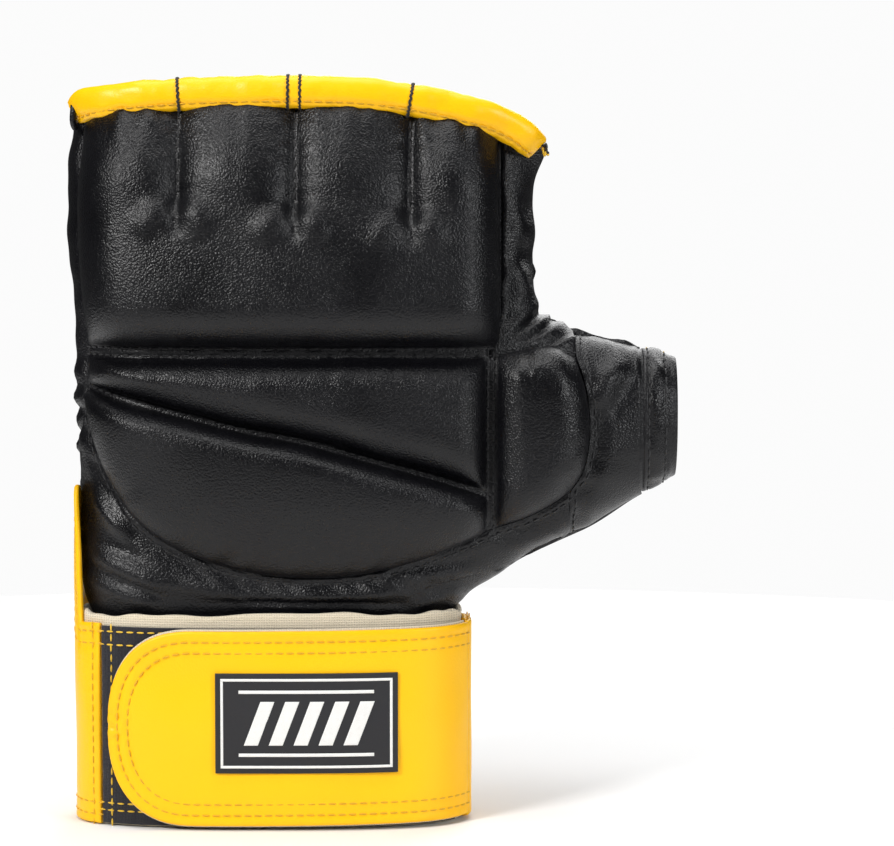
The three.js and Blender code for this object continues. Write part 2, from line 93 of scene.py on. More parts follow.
def smooth(value, start, end):
    """0 before start, 1 after end and a smooth step between."""
    t = np.clip((value - start) / (end - start), 0, 1)
    return t * t * (3 - 2 * t)


def rise(distance, radius):
    """A quarter round: 0 at distance 0 and 1 from radius on."""
    k = np.clip(1 - distance / radius, 0, 1)
    return np.sqrt(1 - k * k)


def bump(value, middle, width):
    return np.exp(-((value - middle) / width) ** 2)


def unit(vectors):
    return vectors / np.maximum(np.linalg.norm(vectors, axis=-1, keepdims=True), 1e-9)


def station(stations, at):
    result = np.full(np.shape(at), float(stations[0][1]))
    for (a, va), (b, vb) in zip(stations, stations[1:]):
        result += (vb - va) * smooth(at, a, b)
    return result


class Outline:
    """A smooth line through points, followed by even arc length: a centripetal Catmull-Rom curve."""

    STEPS = 24

    def __init__(self, points, bent=True):
        p = np.array(points, float)
        line = [p[:1]]
        if bent and len(p) > 2:
            q = np.vstack([2 * p[0] - p[1], p, 2 * p[-1] - p[-2]])
            t = np.linspace(0, 1, self.STEPS + 1)[1:, None]
            for a, b, c, d in zip(q, q[1:], q[2:], q[3:]):
                ab, bc, cd = [np.sqrt(max(np.linalg.norm(e), 1e-4)) for e in (b - a, c - b, d - c)]
                start = ((b - a) / ab - (c - a) / (ab + bc) + (c - b) / bc) * bc
                end = ((c - b) / bc - (d - b) / (bc + cd) + (d - c) / cd) * bc
                line.append(b + start * t + (3 * (c - b) - 2 * start - end) * t ** 2
                            + (2 * (b - c) + start + end) * t ** 3)
        else:
            line.append(p[1:])
        self.line = np.vstack(line)
        steps = np.linalg.norm(np.diff(self.line, axis=0), axis=1)
        self.arc = np.concatenate([[0], np.cumsum(steps)])
        self.length = self.arc[-1]

    def __call__(self, t):
        at = np.clip(t, 0, 1) * self.length
        return np.stack([np.interp(at, self.arc, column) for column in self.line.T], -1)

    def where(self, axis, value):
        """The share of the length at which a coordinate reaches value; it rises or falls all the way."""
        column = self.line[:, axis]
        order = np.argsort(column)
        return np.interp(value, column[order], self.arc[order]) / self.length

    def between(self, axis, start, end, count=24):
        """The part of the line between two values of a coordinate, as an outline of its own."""
        t = np.linspace(self.where(axis, start), self.where(axis, end), count)
        return Outline(self(t), bent=False)


LITTLE_SIDE = Outline([(-83, 44), (-83.4, 60), (-86, 70), (-86.9, 90), (-87.3, 106), (-88, 122),
                       (-88.5, 146), (-90.6, 168), (-91.3, 188), (-89.4, 213)])
INDEX_SIDE = Outline([(52, 205), (48.4, 192), (47.5, 175), (48.2, 160), (52, 150.8), (62, 146.2),
                      (78, 143.6), (96, 141)])
THUMB_SIDE = Outline([(96, 103.5), (84, 99), (69.5, 91.5), (56, 85.5), (45, 80.5), (37, 75.5),
                      (28, 70), (22.6, 61), (22, 44)])
SIDE_POINTS = [side(np.linspace(0, 1, 49)) for side in (LITTLE_SIDE, INDEX_SIDE, THUMB_SIDE)]
SIDE_STARTS = np.vstack([line[:-1] for line in SIDE_POINTS])
SIDE_ENDS = np.vstack([line[1:] for line in SIDE_POINTS])


def thumb_share(x):
    return smooth(x, THUMB_START_X, THUMB_END_X)


def rounding(x):
    return HAND_ROUNDING + (THUMB_ROUNDING - HAND_ROUNDING) * thumb_share(x)


def half_depth(x, z):
    hand, thumb = station(HAND_HALF_DEPTH, z), station(THUMB_HALF_DEPTH, x)
    return hand + (thumb - hand) * thumb_share(x)


def middle_y(x, z):
    cup = CUP * smooth(z, 62, 105) * ((x - HAND_CENTRE_X) / HAND_HALF_WIDTH) ** 2
    hand, thumb = station(HAND_MIDDLE_Y, z) + cup, station(THUMB_MIDDLE_Y, x)
    return hand + (thumb - hand) * thumb_share(x)


def side_distance(x, z):
    """How far each point of the plan is from the hand's nearest side."""
    shape = np.shape(x)
    points = np.stack([np.ravel(x), np.ravel(z)], -1)
    along = SIDE_ENDS - SIDE_STARTS
    size = (along ** 2).sum(-1)
    nearest = np.empty(len(points))
    for first in range(0, len(points), 4096):
        to = points[first:first + 4096, None] - SIDE_STARTS
        t = np.clip((to * along).sum(-1) / size, 0, 1)
        nearest[first:first + 4096] = np.linalg.norm(to - t[..., None] * along, axis=-1).min(-1)
    return nearest.reshape(shape)


def hand_surface(plan, face):
    """Points on the back or palm of the hand above the plan points (x, z)."""
    x, z = plan[..., 0], plan[..., 1]
    round_in = np.clip(1 - side_distance(x, z) / rounding(x), 0, 1)
    y = middle_y(x, z) + face * half_depth(x, z) * np.sqrt(1 - round_in ** 2)
    taper = 1 - THUMB_TAPER * smooth(x, 64, 84)
    return np.stack([x, y, THUMB_MIDDLE_Z + (z - THUMB_MIDDLE_Z) * taper], -1)


def side_plan(side, t, turn):
    """Plan points a turn of some degrees round a side from its outermost line."""
    at = side(t)
    along = unit(side(t + 0.01) - side(t - 0.01))
    inward = (rounding(at[..., 0]) * (1 - np.cos(np.radians(turn))))[..., None]
    return at + inward * np.stack([along[..., 1], -along[..., 0]], -1)


# ---- Grids of points --------------------------------------------------------------------------------------

EDGE_STEPS = np.array([0, 0.08, 0.35, 0.8, 1.4, 2.2, 3.2, 4.4])


def spread(length, step=1.4):
    """Shares of a length, about a step apart and closer together at both ends."""
    edge = EDGE_STEPS * min(1, length / 16)
    count = max(2, int(round((length - 2 * edge[-1]) / step)) + 1)
    inner = np.linspace(edge[-1], length - edge[-1], count)
    return np.concatenate([edge[:-1], inner, length - edge[:-1][::-1]]) / length


def patch(bottom, top, left, right, step=1.4):
    """Plan points over a patch between four edges that meet at its corners."""
    u = spread(max(bottom.length, top.length), step)
    v = spread(max(left.length, right.length), step)
    low, high, near, far = bottom(u), top(u), left(v), right(v)
    su, sv = u[None, :, None], v[:, None, None]
    corners = ((1 - su) * (1 - sv) * low[0] + su * (1 - sv) * low[-1]
               + (1 - su) * sv * high[0] + su * sv * high[-1])
    return (1 - sv) * low + sv * high + (1 - su) * near[:, None] + su * far[:, None] - corners


def round_patch(back, side, palm, step=1.6, turns=25):
    """Points on a gusset that runs from a line on the back, round a side, to a line on the palm."""
    u = spread(side.length, step)
    b, c, p = back(u), side(u), palm(u)
    rows = []
    for v in np.linspace(-1, 1, turns):
        edge, face = (b, BACK) if v < 0 else (p, PALM)
        reach = np.linalg.norm(edge - c, axis=-1)
        turn = np.arccos(1 - np.clip(reach / rounding(c[:, 0]), 0, 1)) + 1e-6
        share = (1 - np.cos(abs(v) * turn)) / (1 - np.cos(turn))
        rows.append(hand_surface(c + (edge - c) * share[:, None], face))
    return np.array(rows)


def edge_distance(points, line):
    """How far each grid point is from a line of points."""
    starts, along = line[:-1], np.diff(line, axis=0)
    size = np.maximum((along ** 2).sum(-1), 1e-9)
    flat = points.reshape(-1, 3)
    nearest = np.empty(len(flat))
    for first in range(0, len(flat), 4096):
        to = flat[first:first + 4096, None] - starts
        t = np.clip((to * along).sum(-1) / size, 0, 1)
        nearest[first:first + 4096] = np.linalg.norm(to - t[..., None] * along, axis=-1).min(-1)
    return nearest.reshape(points.shape[:-1])


class Skin:
    """A grid of points with its normals and each point's distance from the four edges."""

    def __init__(self, points, out, ring=False):
        self.points, self.ring = points, ring
        if ring:
            across = np.roll(points, -1, 1) - np.roll(points, 1, 1)
        else:
            across = np.gradient(points, axis=1)
        normal = unit(np.cross(across, np.gradient(points, axis=0)))
        self.normal = normal if (normal * np.asarray(out, float)).sum() > 0 else -normal
        closed = np.concatenate([points, points[:, :1]], 1) if ring else points
        self.bottom, self.top = edge_distance(points, closed[0]), edge_distance(points, closed[-1])
        if not ring:
            self.left, self.right = edge_distance(points, points[:, 0]), edge_distance(points, points[:, -1])
        steps = np.linalg.norm(np.diff(points, axis=1), axis=-1)
        self.along = np.concatenate([np.zeros((points.shape[0], 1)), np.cumsum(steps, 1)], 1)
        self.direction = self.normal
        self.outer = points

    @property
    def x(self):
        return self.points[..., 0]

    @property
    def z(self):
        return self.points[..., 2]

    def seam(self):
        """The distance to the nearest sewn edge."""
        edges = (self.bottom, self.top) if self.ring else (self.left, self.right, self.bottom, self.top)
        return np.minimum.reduce(edges)

    def lean(self, toward, share):
        """Pads grow partly along one direction, so that their sides don't flare out."""
        self.direction = unit(self.normal * (1 - share) + np.array(toward, float) * share)

    def lift(self, height):
        self.outer = self.points + self.direction * height[..., None]

    def row(self, edge, offset, start=0.0, end=1.0, lift=0.12):
        """A line on the outer face, at one distance from an edge."""
        distance, raised = getattr(self, edge), self.outer + self.normal * lift
        if edge in ("left", "right"):
            distance, raised = distance.T, np.swapaxes(raised, 0, 1)
        if edge in ("top", "right"):
            distance, raised = distance[::-1], raised[::-1]
        line = []
        for i in range(int(start * (distance.shape[1] - 1)), int(end * (distance.shape[1] - 1)) + 1):
            past = int(np.argmax(distance[:, i] > offset))
            if past:
                near, far = distance[past - 1, i], distance[past, i]
                share = (offset - near) / (far - near)
                line.append(raised[past - 1, i] * (1 - share) + raised[past, i] * share)
        return np.array(line)

    def cut(self, x, low, high, lift=0.12):
        """A line up the outer face where it has one x, between two heights."""
        raised = self.outer + self.normal * lift
        line = np.array([[np.interp(x, row[:, 0], row[:, k]) for k in range(3)] for row in raised])
        return line[(line[:, 2] >= low) & (line[:, 2] <= high)]


RIPPLE_WAVES = 14
GATHER_WAVES = 5


def ripples(points, seed, wavelength):
    """Smooth seeded unevenness between about -1 and 1."""
    random = np.random.default_rng(seed)
    total = np.zeros(points.shape[:-1])
    for _ in range(RIPPLE_WAVES):
        direction = unit(random.normal(size=3))
        stretch = wavelength * random.uniform(0.7, 1.5)
        total += np.sin((points @ direction) * 2 * math.pi / stretch + random.uniform(0, 2 * math.pi))
    return total / math.sqrt(RIPPLE_WAVES)


def fold(x, z, start, end, width, height):
    """A soft ridge (or a groove, where height is below 0) along a line of the plan, fading at both ends."""
    a, b = np.array(start, float), np.array(end, float)
    along = b - a
    t = ((x - a[0]) * along[0] + (z - a[1]) * along[1]) / (along @ along)
    near = np.clip(t, 0, 1)
    away = np.hypot(x - a[0] - near * along[0], z - a[1] - near * along[1])
    return height * np.exp(-(away / width) ** 2) * smooth(t, -0.15, 0.3) * (1 - smooth(t, 0.7, 1.15))


def creased(height, skin, folds, share=1.0):
    """A height with soft folds added. Each fold gives its start, end, width and lift."""
    for start, end, width, lift in folds:
        height = height + share * fold(skin.x, skin.z, start, end, width, lift)
    return height


def stitch_dip(distance, offset, depth=0.3, width=0.55):
    return -depth * bump(distance, offset, width)


def gathers(along, across, spacing, depth, reach, seed):
    """Small folds that run away from a seam: along it they repeat, across it they fade."""
    random = np.random.default_rng(seed)
    wave = np.zeros(np.shape(along))
    for _ in range(GATHER_WAVES):
        wave += np.sin(along * 2 * math.pi / (spacing * random.uniform(0.7, 1.6)) + random.uniform(0, 6.3))
    return depth * wave / 2.2 * np.exp(-across / reach) * smooth(across, 0, 1.2)


# ---- Meshes -----------------------------------------------------------------------------------------------

def add_mesh(name, vertices, faces, material, seam=None):
    """A smooth-shaded object from points in millimetres. Faces are turned to point outwards."""
    vertices = np.asarray(vertices, float) * MM
    loops = np.asarray(faces)
    corner = vertices[loops]
    fan = np.einsum("ij,ij->i", corner[:, 0], np.cross(corner[:, 1], corner[:, 2])).sum()
    if loops.shape[1] == 4:
        fan += np.einsum("ij,ij->i", corner[:, 0], np.cross(corner[:, 2], corner[:, 3])).sum()
    if fan < 0:
        loops = loops[:, ::-1]
    mesh = bpy.data.meshes.new(name)
    mesh.from_pydata(vertices.tolist(), [], loops.tolist())
    mesh.shade_smooth()
    if seam is not None:
        layer = mesh.attributes.new("seam", "FLOAT", "POINT")
        layer.data.foreach_set("value", np.asarray(seam, np.float32).ravel())
    mesh.materials.append(material)
    piece = bpy.data.objects.new(name, mesh)
    bpy.context.scene.collection.objects.link(piece)
    return piece


def closed_sheet(name, outer, inner, material, ring=False, seam=None):
    """A closed sheet between two grids of points that share their sewn edges."""
    rows, columns = outer.shape[:2]
    front = np.arange(rows * columns).reshape(rows, columns)
    inside = np.zeros((rows, columns), bool)
    inside[1:-1, (slice(None) if ring else slice(1, -1))] = True
    rear = front.copy()
    rear[inside] = rows * columns + np.arange(inside.sum())
    faces = []
    for grid, order in ((front, (0, 1, 2, 3)), (rear, (3, 2, 1, 0))):
        g = np.concatenate([grid, grid[:, :1]], 1) if ring else grid
        quads = np.stack([g[:-1, :-1], g[:-1, 1:], g[1:, 1:], g[1:, :-1]], -1).reshape(-1, 4)
        faces.append(quads[:, order])
    vertices = np.vstack([outer.reshape(-1, 3), inner[inside]])
    values = None if seam is None else np.concatenate([seam.ravel(), seam[inside]])
    return add_mesh(name, vertices, np.vstack(faces), material, values)


def panel(name, skin, height, material, inner=0.0):
    """A leather panel or padded cover: its outer face stands off the skin by height."""
    skin.lift(height)
    back = skin.points + skin.direction * np.minimum(inner, height - 0.5)[..., None]
    return closed_sheet(name, skin.outer, back, material, skin.ring, skin.seam())


def tube(name, line, radius, material, sides):
    """A round cord along a line, closed at both ends."""
    line = np.asarray(line, float)
    tangent = unit(np.gradient(line, axis=0))
    guide = np.array([0.0, 1.0, 0.0])
    first = unit(np.cross(tangent, guide))
    second = np.cross(tangent, first)
    angles = np.linspace(0, 2 * math.pi, sides, endpoint=False)
    ring = (np.cos(angles)[None, :, None] * first[:, None]
            + np.sin(angles)[None, :, None] * second[:, None])
    points = (line[:, None] + radius * ring).reshape(-1, 3)
    g = np.arange(len(points)).reshape(len(line), sides)
    g = np.concatenate([g, g[:, :1]], 1)
    quads = np.stack([g[:-1, :-1], g[:-1, 1:], g[1:, 1:], g[1:, :-1]], -1).reshape(-1, 4).tolist()
    ends = [len(points), len(points) + 1]
    points = np.vstack([points, line[0], line[-1]])
    fans = [[ends[0], g[0, i + 1], g[0, i]] for i in range(sides)]
    fans += [[ends[1], g[-1, i], g[-1, i + 1]] for i in range(sides)]
    mesh = bpy.data.meshes.new(name)
    mesh.from_pydata((points * MM).tolist(), [], quads + fans)
    mesh.shade_smooth()
    mesh.materials.append(material)
    piece = bpy.data.objects.new(name, mesh)
    bpy.context.scene.collection.objects.link(piece)
    return piece


# ---- Settings ---------------------------------------------------------------------------------------------

class GloveSizes(bpy.types.PropertyGroup):
    """The padding and thread sizes of the glove."""

    knuckle_pad: bpy.props.FloatProperty(
        name="Knuckle Pad", description="Thickness of the knuckle pad",
        default=0.0135, min=0.005, max=0.02, unit="LENGTH", subtype="DISTANCE")
    upper_pad: bpy.props.FloatProperty(
        name="Upper Back Pad", description="Thickness of the wedge pad",
        default=0.0095, min=0.004, max=0.015, unit="LENGTH", subtype="DISTANCE")
    lower_pad: bpy.props.FloatProperty(
        name="Lower Back Pad", description="Thickness of the half-round pad",
        default=0.0115, min=0.004, max=0.015, unit="LENGTH", subtype="DISTANCE")
    thumb_pad: bpy.props.FloatProperty(
        name="Thumb Pad", description="Thickness of the thumb pad",
        default=0.0092, min=0.004, max=0.015, unit="LENGTH", subtype="DISTANCE")
    grip_roll: bpy.props.FloatProperty(
        name="Grip Roll", description="Thickness of the roll across the palm",
        default=0.0078, min=0.003, max=0.012, unit="LENGTH", subtype="DISTANCE")
    stitch_pitch: bpy.props.FloatProperty(
        name="Stitch Pitch", description="From one stitch to the next",
        default=0.0031, min=0.001, max=0.01, unit="LENGTH", subtype="DISTANCE")
    stitch_length: bpy.props.FloatProperty(
        name="Stitch Length", description="Length of thread that shows",
        default=0.0024, min=0.001, max=0.01, unit="LENGTH", subtype="DISTANCE")
    thread_radius: bpy.props.FloatProperty(
        name="Thread Radius", description="Half the thread's thickness",
        default=0.0003, min=0.0001, max=0.001, unit="LENGTH", subtype="DISTANCE")


class GloveColours(bpy.types.PropertyGroup):
    """The colours of the glove's materials."""

    black: bpy.props.FloatVectorProperty(
        name="Black Leather", description="Colour of the black leather",
        default=(0.0026, 0.0026, 0.0037), min=0, max=1, subtype="COLOR")
    yellow: bpy.props.FloatVectorProperty(
        name="Yellow Leather", description="Colour of the binding and cuff",
        default=(1.0, 0.53, 0.002), min=0, max=1, subtype="COLOR")
    cream: bpy.props.FloatVectorProperty(
        name="Backing", description="Colour of the raw backing cloth",
        default=(0.66, 0.58, 0.44), min=0, max=1, subtype="COLOR")
    thread: bpy.props.FloatVectorProperty(
        name="Thread", description="Colour of the contrast thread",
        default=(0.85, 0.53, 0.02), min=0, max=1, subtype="COLOR")
    floor: bpy.props.FloatVectorProperty(
        name="Floor", description="Colour of the floor",
        default=(0.86, 0.86, 0.86), min=0, max=1, subtype="COLOR")


def sizes():
    """The sizes in millimetres, by name."""
    group = bpy.context.scene.glove_sizes
    return {key: getattr(group, key) / MM for key in GloveSizes.__annotations__}


# ---- Materials --------------------------------------------------------------------------------------------

class Nodes:
    """Adds and links nodes of one tree."""

    def __init__(self, tree):
        self.tree = tree

    def add(self, kind, inputs=None, **settings):
        node = self.tree.nodes.new(kind)
        for key, value in settings.items():
            setattr(node, key, value)
        for key, value in (inputs or {}).items():
            socket = node.inputs[key]
            if isinstance(value, bpy.types.NodeSocket):
                self.tree.links.new(value, socket)
            else:
                socket.default_value = value
        return node

    def mix(self, share, first, second):
        """A mix of two colours."""
        node = self.add("ShaderNodeMix", {0: share, 6: first, 7: second}, data_type="RGBA")
        return node.outputs[2]

    def sum(self, first, second, share):
        """first + second * share."""
        node = self.add("ShaderNodeMath", {0: second, 1: share, 2: first}, operation="MULTIPLY_ADD")
        return node.outputs[0]

    def remap(self, value, low, high, to_low, to_high):
        node = self.add("ShaderNodeMapRange", {"Value": value, "From Min": low, "From Max": high,
                                               "To Min": to_low, "To Max": to_high})
        return node.outputs[0]


def shader_group(name, inputs, outputs, build):
    """A shader node group, made once, with named inputs (name, kind, default) and outputs (name, kind)."""
    if name in bpy.data.node_groups:
        return bpy.data.node_groups[name]
    tree = bpy.data.node_groups.new(name, "ShaderNodeTree")
    for label, kind, default in inputs:
        socket = tree.interface.new_socket(label, in_out="INPUT", socket_type=kind)
        if default is not None:
            socket.default_value = default
    for label, kind in outputs:
        tree.interface.new_socket(label, in_out="OUTPUT", socket_type=kind)
    nodes = Nodes(tree)
    results = build(nodes, nodes.add("NodeGroupInput").outputs)
    nodes.add("NodeGroupOutput", results)
    return tree


def build_grain(nodes, given):
    """Pebbled grain: smooth cells, finer pores, and a slow change in how strong they are."""
    cells = nodes.add("ShaderNodeTexVoronoi", {"Vector": given["Vector"], "Scale": given["Scale"],
                                               "Smoothness": 0.6, "Randomness": 1.0}, feature="SMOOTH_F1")
    fine = nodes.add("ShaderNodeTexNoise", {"Vector": given["Vector"], "Scale": given["Scale"],
                                            "Detail": 3.0, "Roughness": 0.6})
    slow = nodes.add("ShaderNodeTexNoise", {"Vector": given["Vector"], "Scale": 42.0, "Detail": 2.0})
    height = nodes.sum(cells.outputs["Distance"], fine.outputs["Fac"], 0.55)
    strength = nodes.remap(slow.outputs["Fac"], 0.3, 0.7, 0.55, 1.1)
    scaled = nodes.add("ShaderNodeMath", {0: height, 1: strength}, operation="MULTIPLY")
    return {"Height": scaled.outputs[0], "Mask": slow.outputs["Fac"]}


def leather_grain():
    return shader_group("Leather Grain",
                        [("Vector", "NodeSocketVector", None), ("Scale", "NodeSocketFloat", 1200.0)],
                        [("Height", "NodeSocketFloat"), ("Mask", "NodeSocketFloat")], build_grain)


def build_seam_dust_and_shade(nodes, given):
    """The grooves beside seams, for dust, painted shade and dullness, broken up by noise."""
    near = nodes.remap(given["Distance"], 0.0, given["Reach"], 1.0, 0.0)
    patches = nodes.add("ShaderNodeTexNoise", {"Vector": given["Vector"], "Scale": 320.0, "Detail": 4.0})
    broken = nodes.remap(patches.outputs["Fac"], 0.35, 0.7, 0.2, 1.0)
    mask = nodes.add("ShaderNodeMath", {0: near, 1: broken}, operation="MULTIPLY")
    return {"Mask": mask.outputs[0]}


def seam_dust_and_shade():
    return shader_group("Seam Wear",
                        [("Vector", "NodeSocketVector", None), ("Distance", "NodeSocketFloat", 10.0),
                         ("Reach", "NodeSocketFloat", 3.0)],
                        [("Mask", "NodeSocketFloat")], build_seam_dust_and_shade)


def build_weave(nodes, given):
    """Two crossing sets of threads with loose fibres between them."""
    waves = [nodes.add("ShaderNodeTexWave", {"Vector": given["Vector"], "Scale": given["Scale"],
                                             "Distortion": 1.5, "Detail": 2.0, "Detail Scale": 4.0},
                       bands_direction=axis) for axis in ("X", "Z")]
    both = nodes.add("ShaderNodeMath", {0: waves[0].outputs["Fac"], 1: waves[1].outputs["Fac"]},
                     operation="MAXIMUM")
    fuzz = nodes.add("ShaderNodeTexNoise", {"Vector": given["Vector"], "Scale": 2600.0, "Detail": 4.0})
    return {"Height": nodes.sum(both.outputs[0], fuzz.outputs["Fac"], given["Fuzz"]),
            "Mask": fuzz.outputs["Fac"]}


def weave():
    return shader_group("Cloth Weave",
                        [("Vector", "NodeSocketVector", None), ("Scale", "NodeSocketFloat", 300.0),
                         ("Fuzz", "NodeSocketFloat", 0.6)],
                        [("Height", "NodeSocketFloat"), ("Mask", "NodeSocketFloat")], build_weave)


def new_material(name):
    material = bpy.data.materials.new(name)
    material.use_nodes = True
    tree = material.node_tree
    tree.nodes.clear()
    nodes = Nodes(tree)
    shader = nodes.add("ShaderNodeBsdfPrincipled")
    nodes.add("ShaderNodeOutputMaterial", {"Surface": shader.outputs[0]})
    where = nodes.add("ShaderNodeTexCoord").outputs["Object"]
    return material, nodes, shader, where


def tint(colour, factor):
    return [min(1.0, channel * factor) for channel in colour] + [1.0]


def leather_material(name, colour, scale, depth, roughness, tones, specular, coat):
    """Coated leather: colour tones, pebbled grain, duller seams and a seam tone that is dust where lighter
    and painted shade where darker.
    """
    material, nodes, shader, where = new_material(name)
    grain = nodes.add("ShaderNodeGroup", {}, node_tree=leather_grain())
    nodes.tree.links.new(where, grain.inputs["Vector"])
    grain.inputs["Scale"].default_value = scale
    distance = nodes.add("ShaderNodeAttribute", attribute_name="seam").outputs["Fac"]
    dust_and_shade = nodes.add("ShaderNodeGroup", {}, node_tree=seam_dust_and_shade())
    nodes.tree.links.new(where, dust_and_shade.inputs["Vector"])
    nodes.tree.links.new(distance, dust_and_shade.inputs["Distance"])
    base = nodes.mix(nodes.remap(grain.outputs["Mask"], 0.3, 0.7, 0.0, 1.0),
                     tint(colour, tones[0]), tint(colour, tones[1]))
    # The seam grooves take the third tone: a lighter one is dust, a darker one is painted shade.
    base = nodes.mix(nodes.remap(dust_and_shade.outputs["Mask"], 0.0, 1.0, 0.0, 0.5), base, tint(colour, tones[2]))
    dull = nodes.remap(grain.outputs["Height"], 0.2, 1.0, roughness - 0.05, roughness + 0.1)
    dull = nodes.sum(dull, dust_and_shade.outputs["Mask"], 0.18)
    normal = nodes.add("ShaderNodeBump", {"Height": grain.outputs["Height"], "Strength": 0.55,
                                          "Distance": depth})
    for socket, value in (("Base Color", base), ("Roughness", dull), ("Normal", normal.outputs[0])):
        nodes.tree.links.new(value, shader.inputs[socket])
    shader.inputs["Specular IOR Level"].default_value = specular
    shader.inputs["Coat Weight"].default_value = coat
    shader.inputs["Coat Roughness"].default_value = 0.34
    return material


def cloth_material(name, colour, scale, depth, roughness, tones, sheen, fuzz=0.6):
    """Woven or napped cloth."""
    material, nodes, shader, where = new_material(name)
    cloth = nodes.add("ShaderNodeGroup", {}, node_tree=weave())
    nodes.tree.links.new(where, cloth.inputs["Vector"])
    cloth.inputs["Scale"].default_value = scale
    cloth.inputs["Fuzz"].default_value = fuzz
    base = nodes.mix(nodes.remap(cloth.outputs["Height"], 0.3, 1.4, 0.0, 1.0),
                     tint(colour, tones[0]), tint(colour, tones[1]))
    dull = nodes.remap(cloth.outputs["Mask"], 0.2, 0.8, roughness - 0.06, roughness + 0.06)
    normal = nodes.add("ShaderNodeBump", {"Height": cloth.outputs["Height"], "Strength": 0.7,
                                          "Distance": depth})
    for socket, value in (("Base Color", base), ("Roughness", dull), ("Normal", normal.outputs[0])):
        nodes.tree.links.new(value, shader.inputs[socket])
    shader.inputs["Sheen Weight"].default_value = sheen
    return material


def finish(name):
    """One of the glove's materials, made when it is first asked for."""
    if name in bpy.data.materials:
        return bpy.data.materials[name]
    colours = bpy.context.scene.glove_colours
    # The leathers' third tone is for the seam grooves: lighter dust on black, darker painted shade on yellow.
    if name == "Black Leather":
        return leather_material(name, colours.black, 1750.0, 0.00042, 0.29, (0.7, 1.1, 1.6), 0.3, 0.05)
    if name == "Yellow Leather":
        return leather_material(name, colours.yellow, 1500.0, 0.00008, 0.36, (0.97, 1.0, 0.82), 0.25, 0.05)
    if name == "Cream Backing":
        return cloth_material(name, colours.cream, 420.0, 0.0002, 0.92, (0.75, 1.1), 0.1)
    if name == "Black Lining":
        return cloth_material(name, colours.black, 520.0, 0.00012, 0.9, (1.6, 4.5), 0.1)
    if name == "Loop Pile":
        return cloth_material(name, colours.black, 700.0, 0.0004, 0.95, (1.0, 6.0), 0.12, 1.6)
    if name == "Label Cloth":
        return cloth_material(name, colours.black, 900.0, 0.00006, 0.62, (1.4, 3.6), 0.05, 0.3)
    if name == "Label Thread":
        return cloth_material(name, (0.82, 0.82, 0.8), 900.0, 0.00008, 0.7, (0.75, 1.1), 0.1, 0.4)
    if name == "Contrast Thread":
        return cloth_material(name, colours.thread, 1500.0, 0.0001, 0.6, (0.7, 1.15), 0.2, 0.4)
    if name == "Ochre Thread":
        return cloth_material(name, colours.yellow, 1500.0, 0.0001, 0.6, (0.55, 0.88), 0.1, 0.4)
    if name == "Black Thread":
        return cloth_material(name, colours.black, 1500.0, 0.0001, 0.55, (0.7, 2.4), 0.15, 0.4)
    raise ValueError("there is no finish named " + name)


# ---- Placing pieces on the frame --------------------------------------------------------------------------

# Where a piece bends between two bodies: the bodies, and the points where the bend starts and ends.
WRIST_BEND = ("cuff", "hand", (0, 0, 0.063), (0, 0, 0.078))
FOLD_BEND = ("hand", "fingers", (0, 0, 0.1429), (0, 0, 0.152))
ROLL_BEND = ("hand", "fingers", (-0.0185, 0, 0.1505), (-0.0197, 0, 0.1650))
THUMB_BEND = ("hand", "thumb", (0.066, 0, 0), (0.082, 0, 0))
PEEL_BEND = ("strap", "strap_end", (-0.0485, -0.0267, 0.03), (-0.0565, -0.0267, 0.03))
ROOT_BEND = ("cuff", "strap", (0.0310, 0.004, 0.03), (0.0310, -0.0095, 0.03))
BENDS = {"wrist": WRIST_BEND, "fold": FOLD_BEND, "roll": ROLL_BEND, "thumb": THUMB_BEND,
         "peel": PEEL_BEND, "root": ROOT_BEND}


def settle(piece, holder, slot, *nodes):
    """Joins a piece to its body, bakes in the transform of a piece on a bend, and hides the CAD nodes that it
    stands for.
    """
    if holder in BENDS:
        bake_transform(piece)
    else:
        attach(piece, holder)
    if nodes:
        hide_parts(*nodes)
    return piece


stitch_rows = {}  # (holder, thread) -> lines that the stitching follows, filled as the panels are made


def sew(holder, thread, *lines):
    stitch_rows.setdefault((holder, thread), []).extend(line for line in lines if len(line) > 1)


# ---- Seam lines shared by neighbouring panels ------------------------------------------------------------

BACK_TURN, PALM_TURN, INDEX_TURN = 31.0, 28.0, 14.0
UNDERLAP = 6.0  # how much further, in degrees of the side's curve, a gusset reaches under its neighbours
FLANGE = 2.1  # width of the flat seam allowance beside a pad
FLAT = 0.9  # height of the leather at a seam


def little_edge(turn, low, high):
    """The line on the little finger's side where a face panel meets the gusset, between two heights."""
    z = np.linspace(low, high, 40)
    turns = 4 + (turn - 4) * smooth(z, 102, 132)
    return Outline(side_plan(LITTLE_SIDE, LITTLE_SIDE.where(1, z), turns), bent=False)


def little_point(turn, z):
    return little_edge(turn, z, z + 0.01)(0.0)


def side_line(side, low, high, count):
    """The outermost line of a side between two heights, with points at even heights."""
    return Outline(side(side.where(1, np.linspace(low, high, count))), bent=False)


def index_edge(low, high):
    z = np.linspace(low, high, 30)
    return Outline(side_plan(INDEX_SIDE, INDEX_SIDE.where(1, z), INDEX_TURN), bent=False)


def chain(*lines):
    """Several lines end to end as one outline."""
    return Outline(np.vstack([line.line if isinstance(line, Outline) else np.array(line, float)
                              for line in lines]), bent=False)


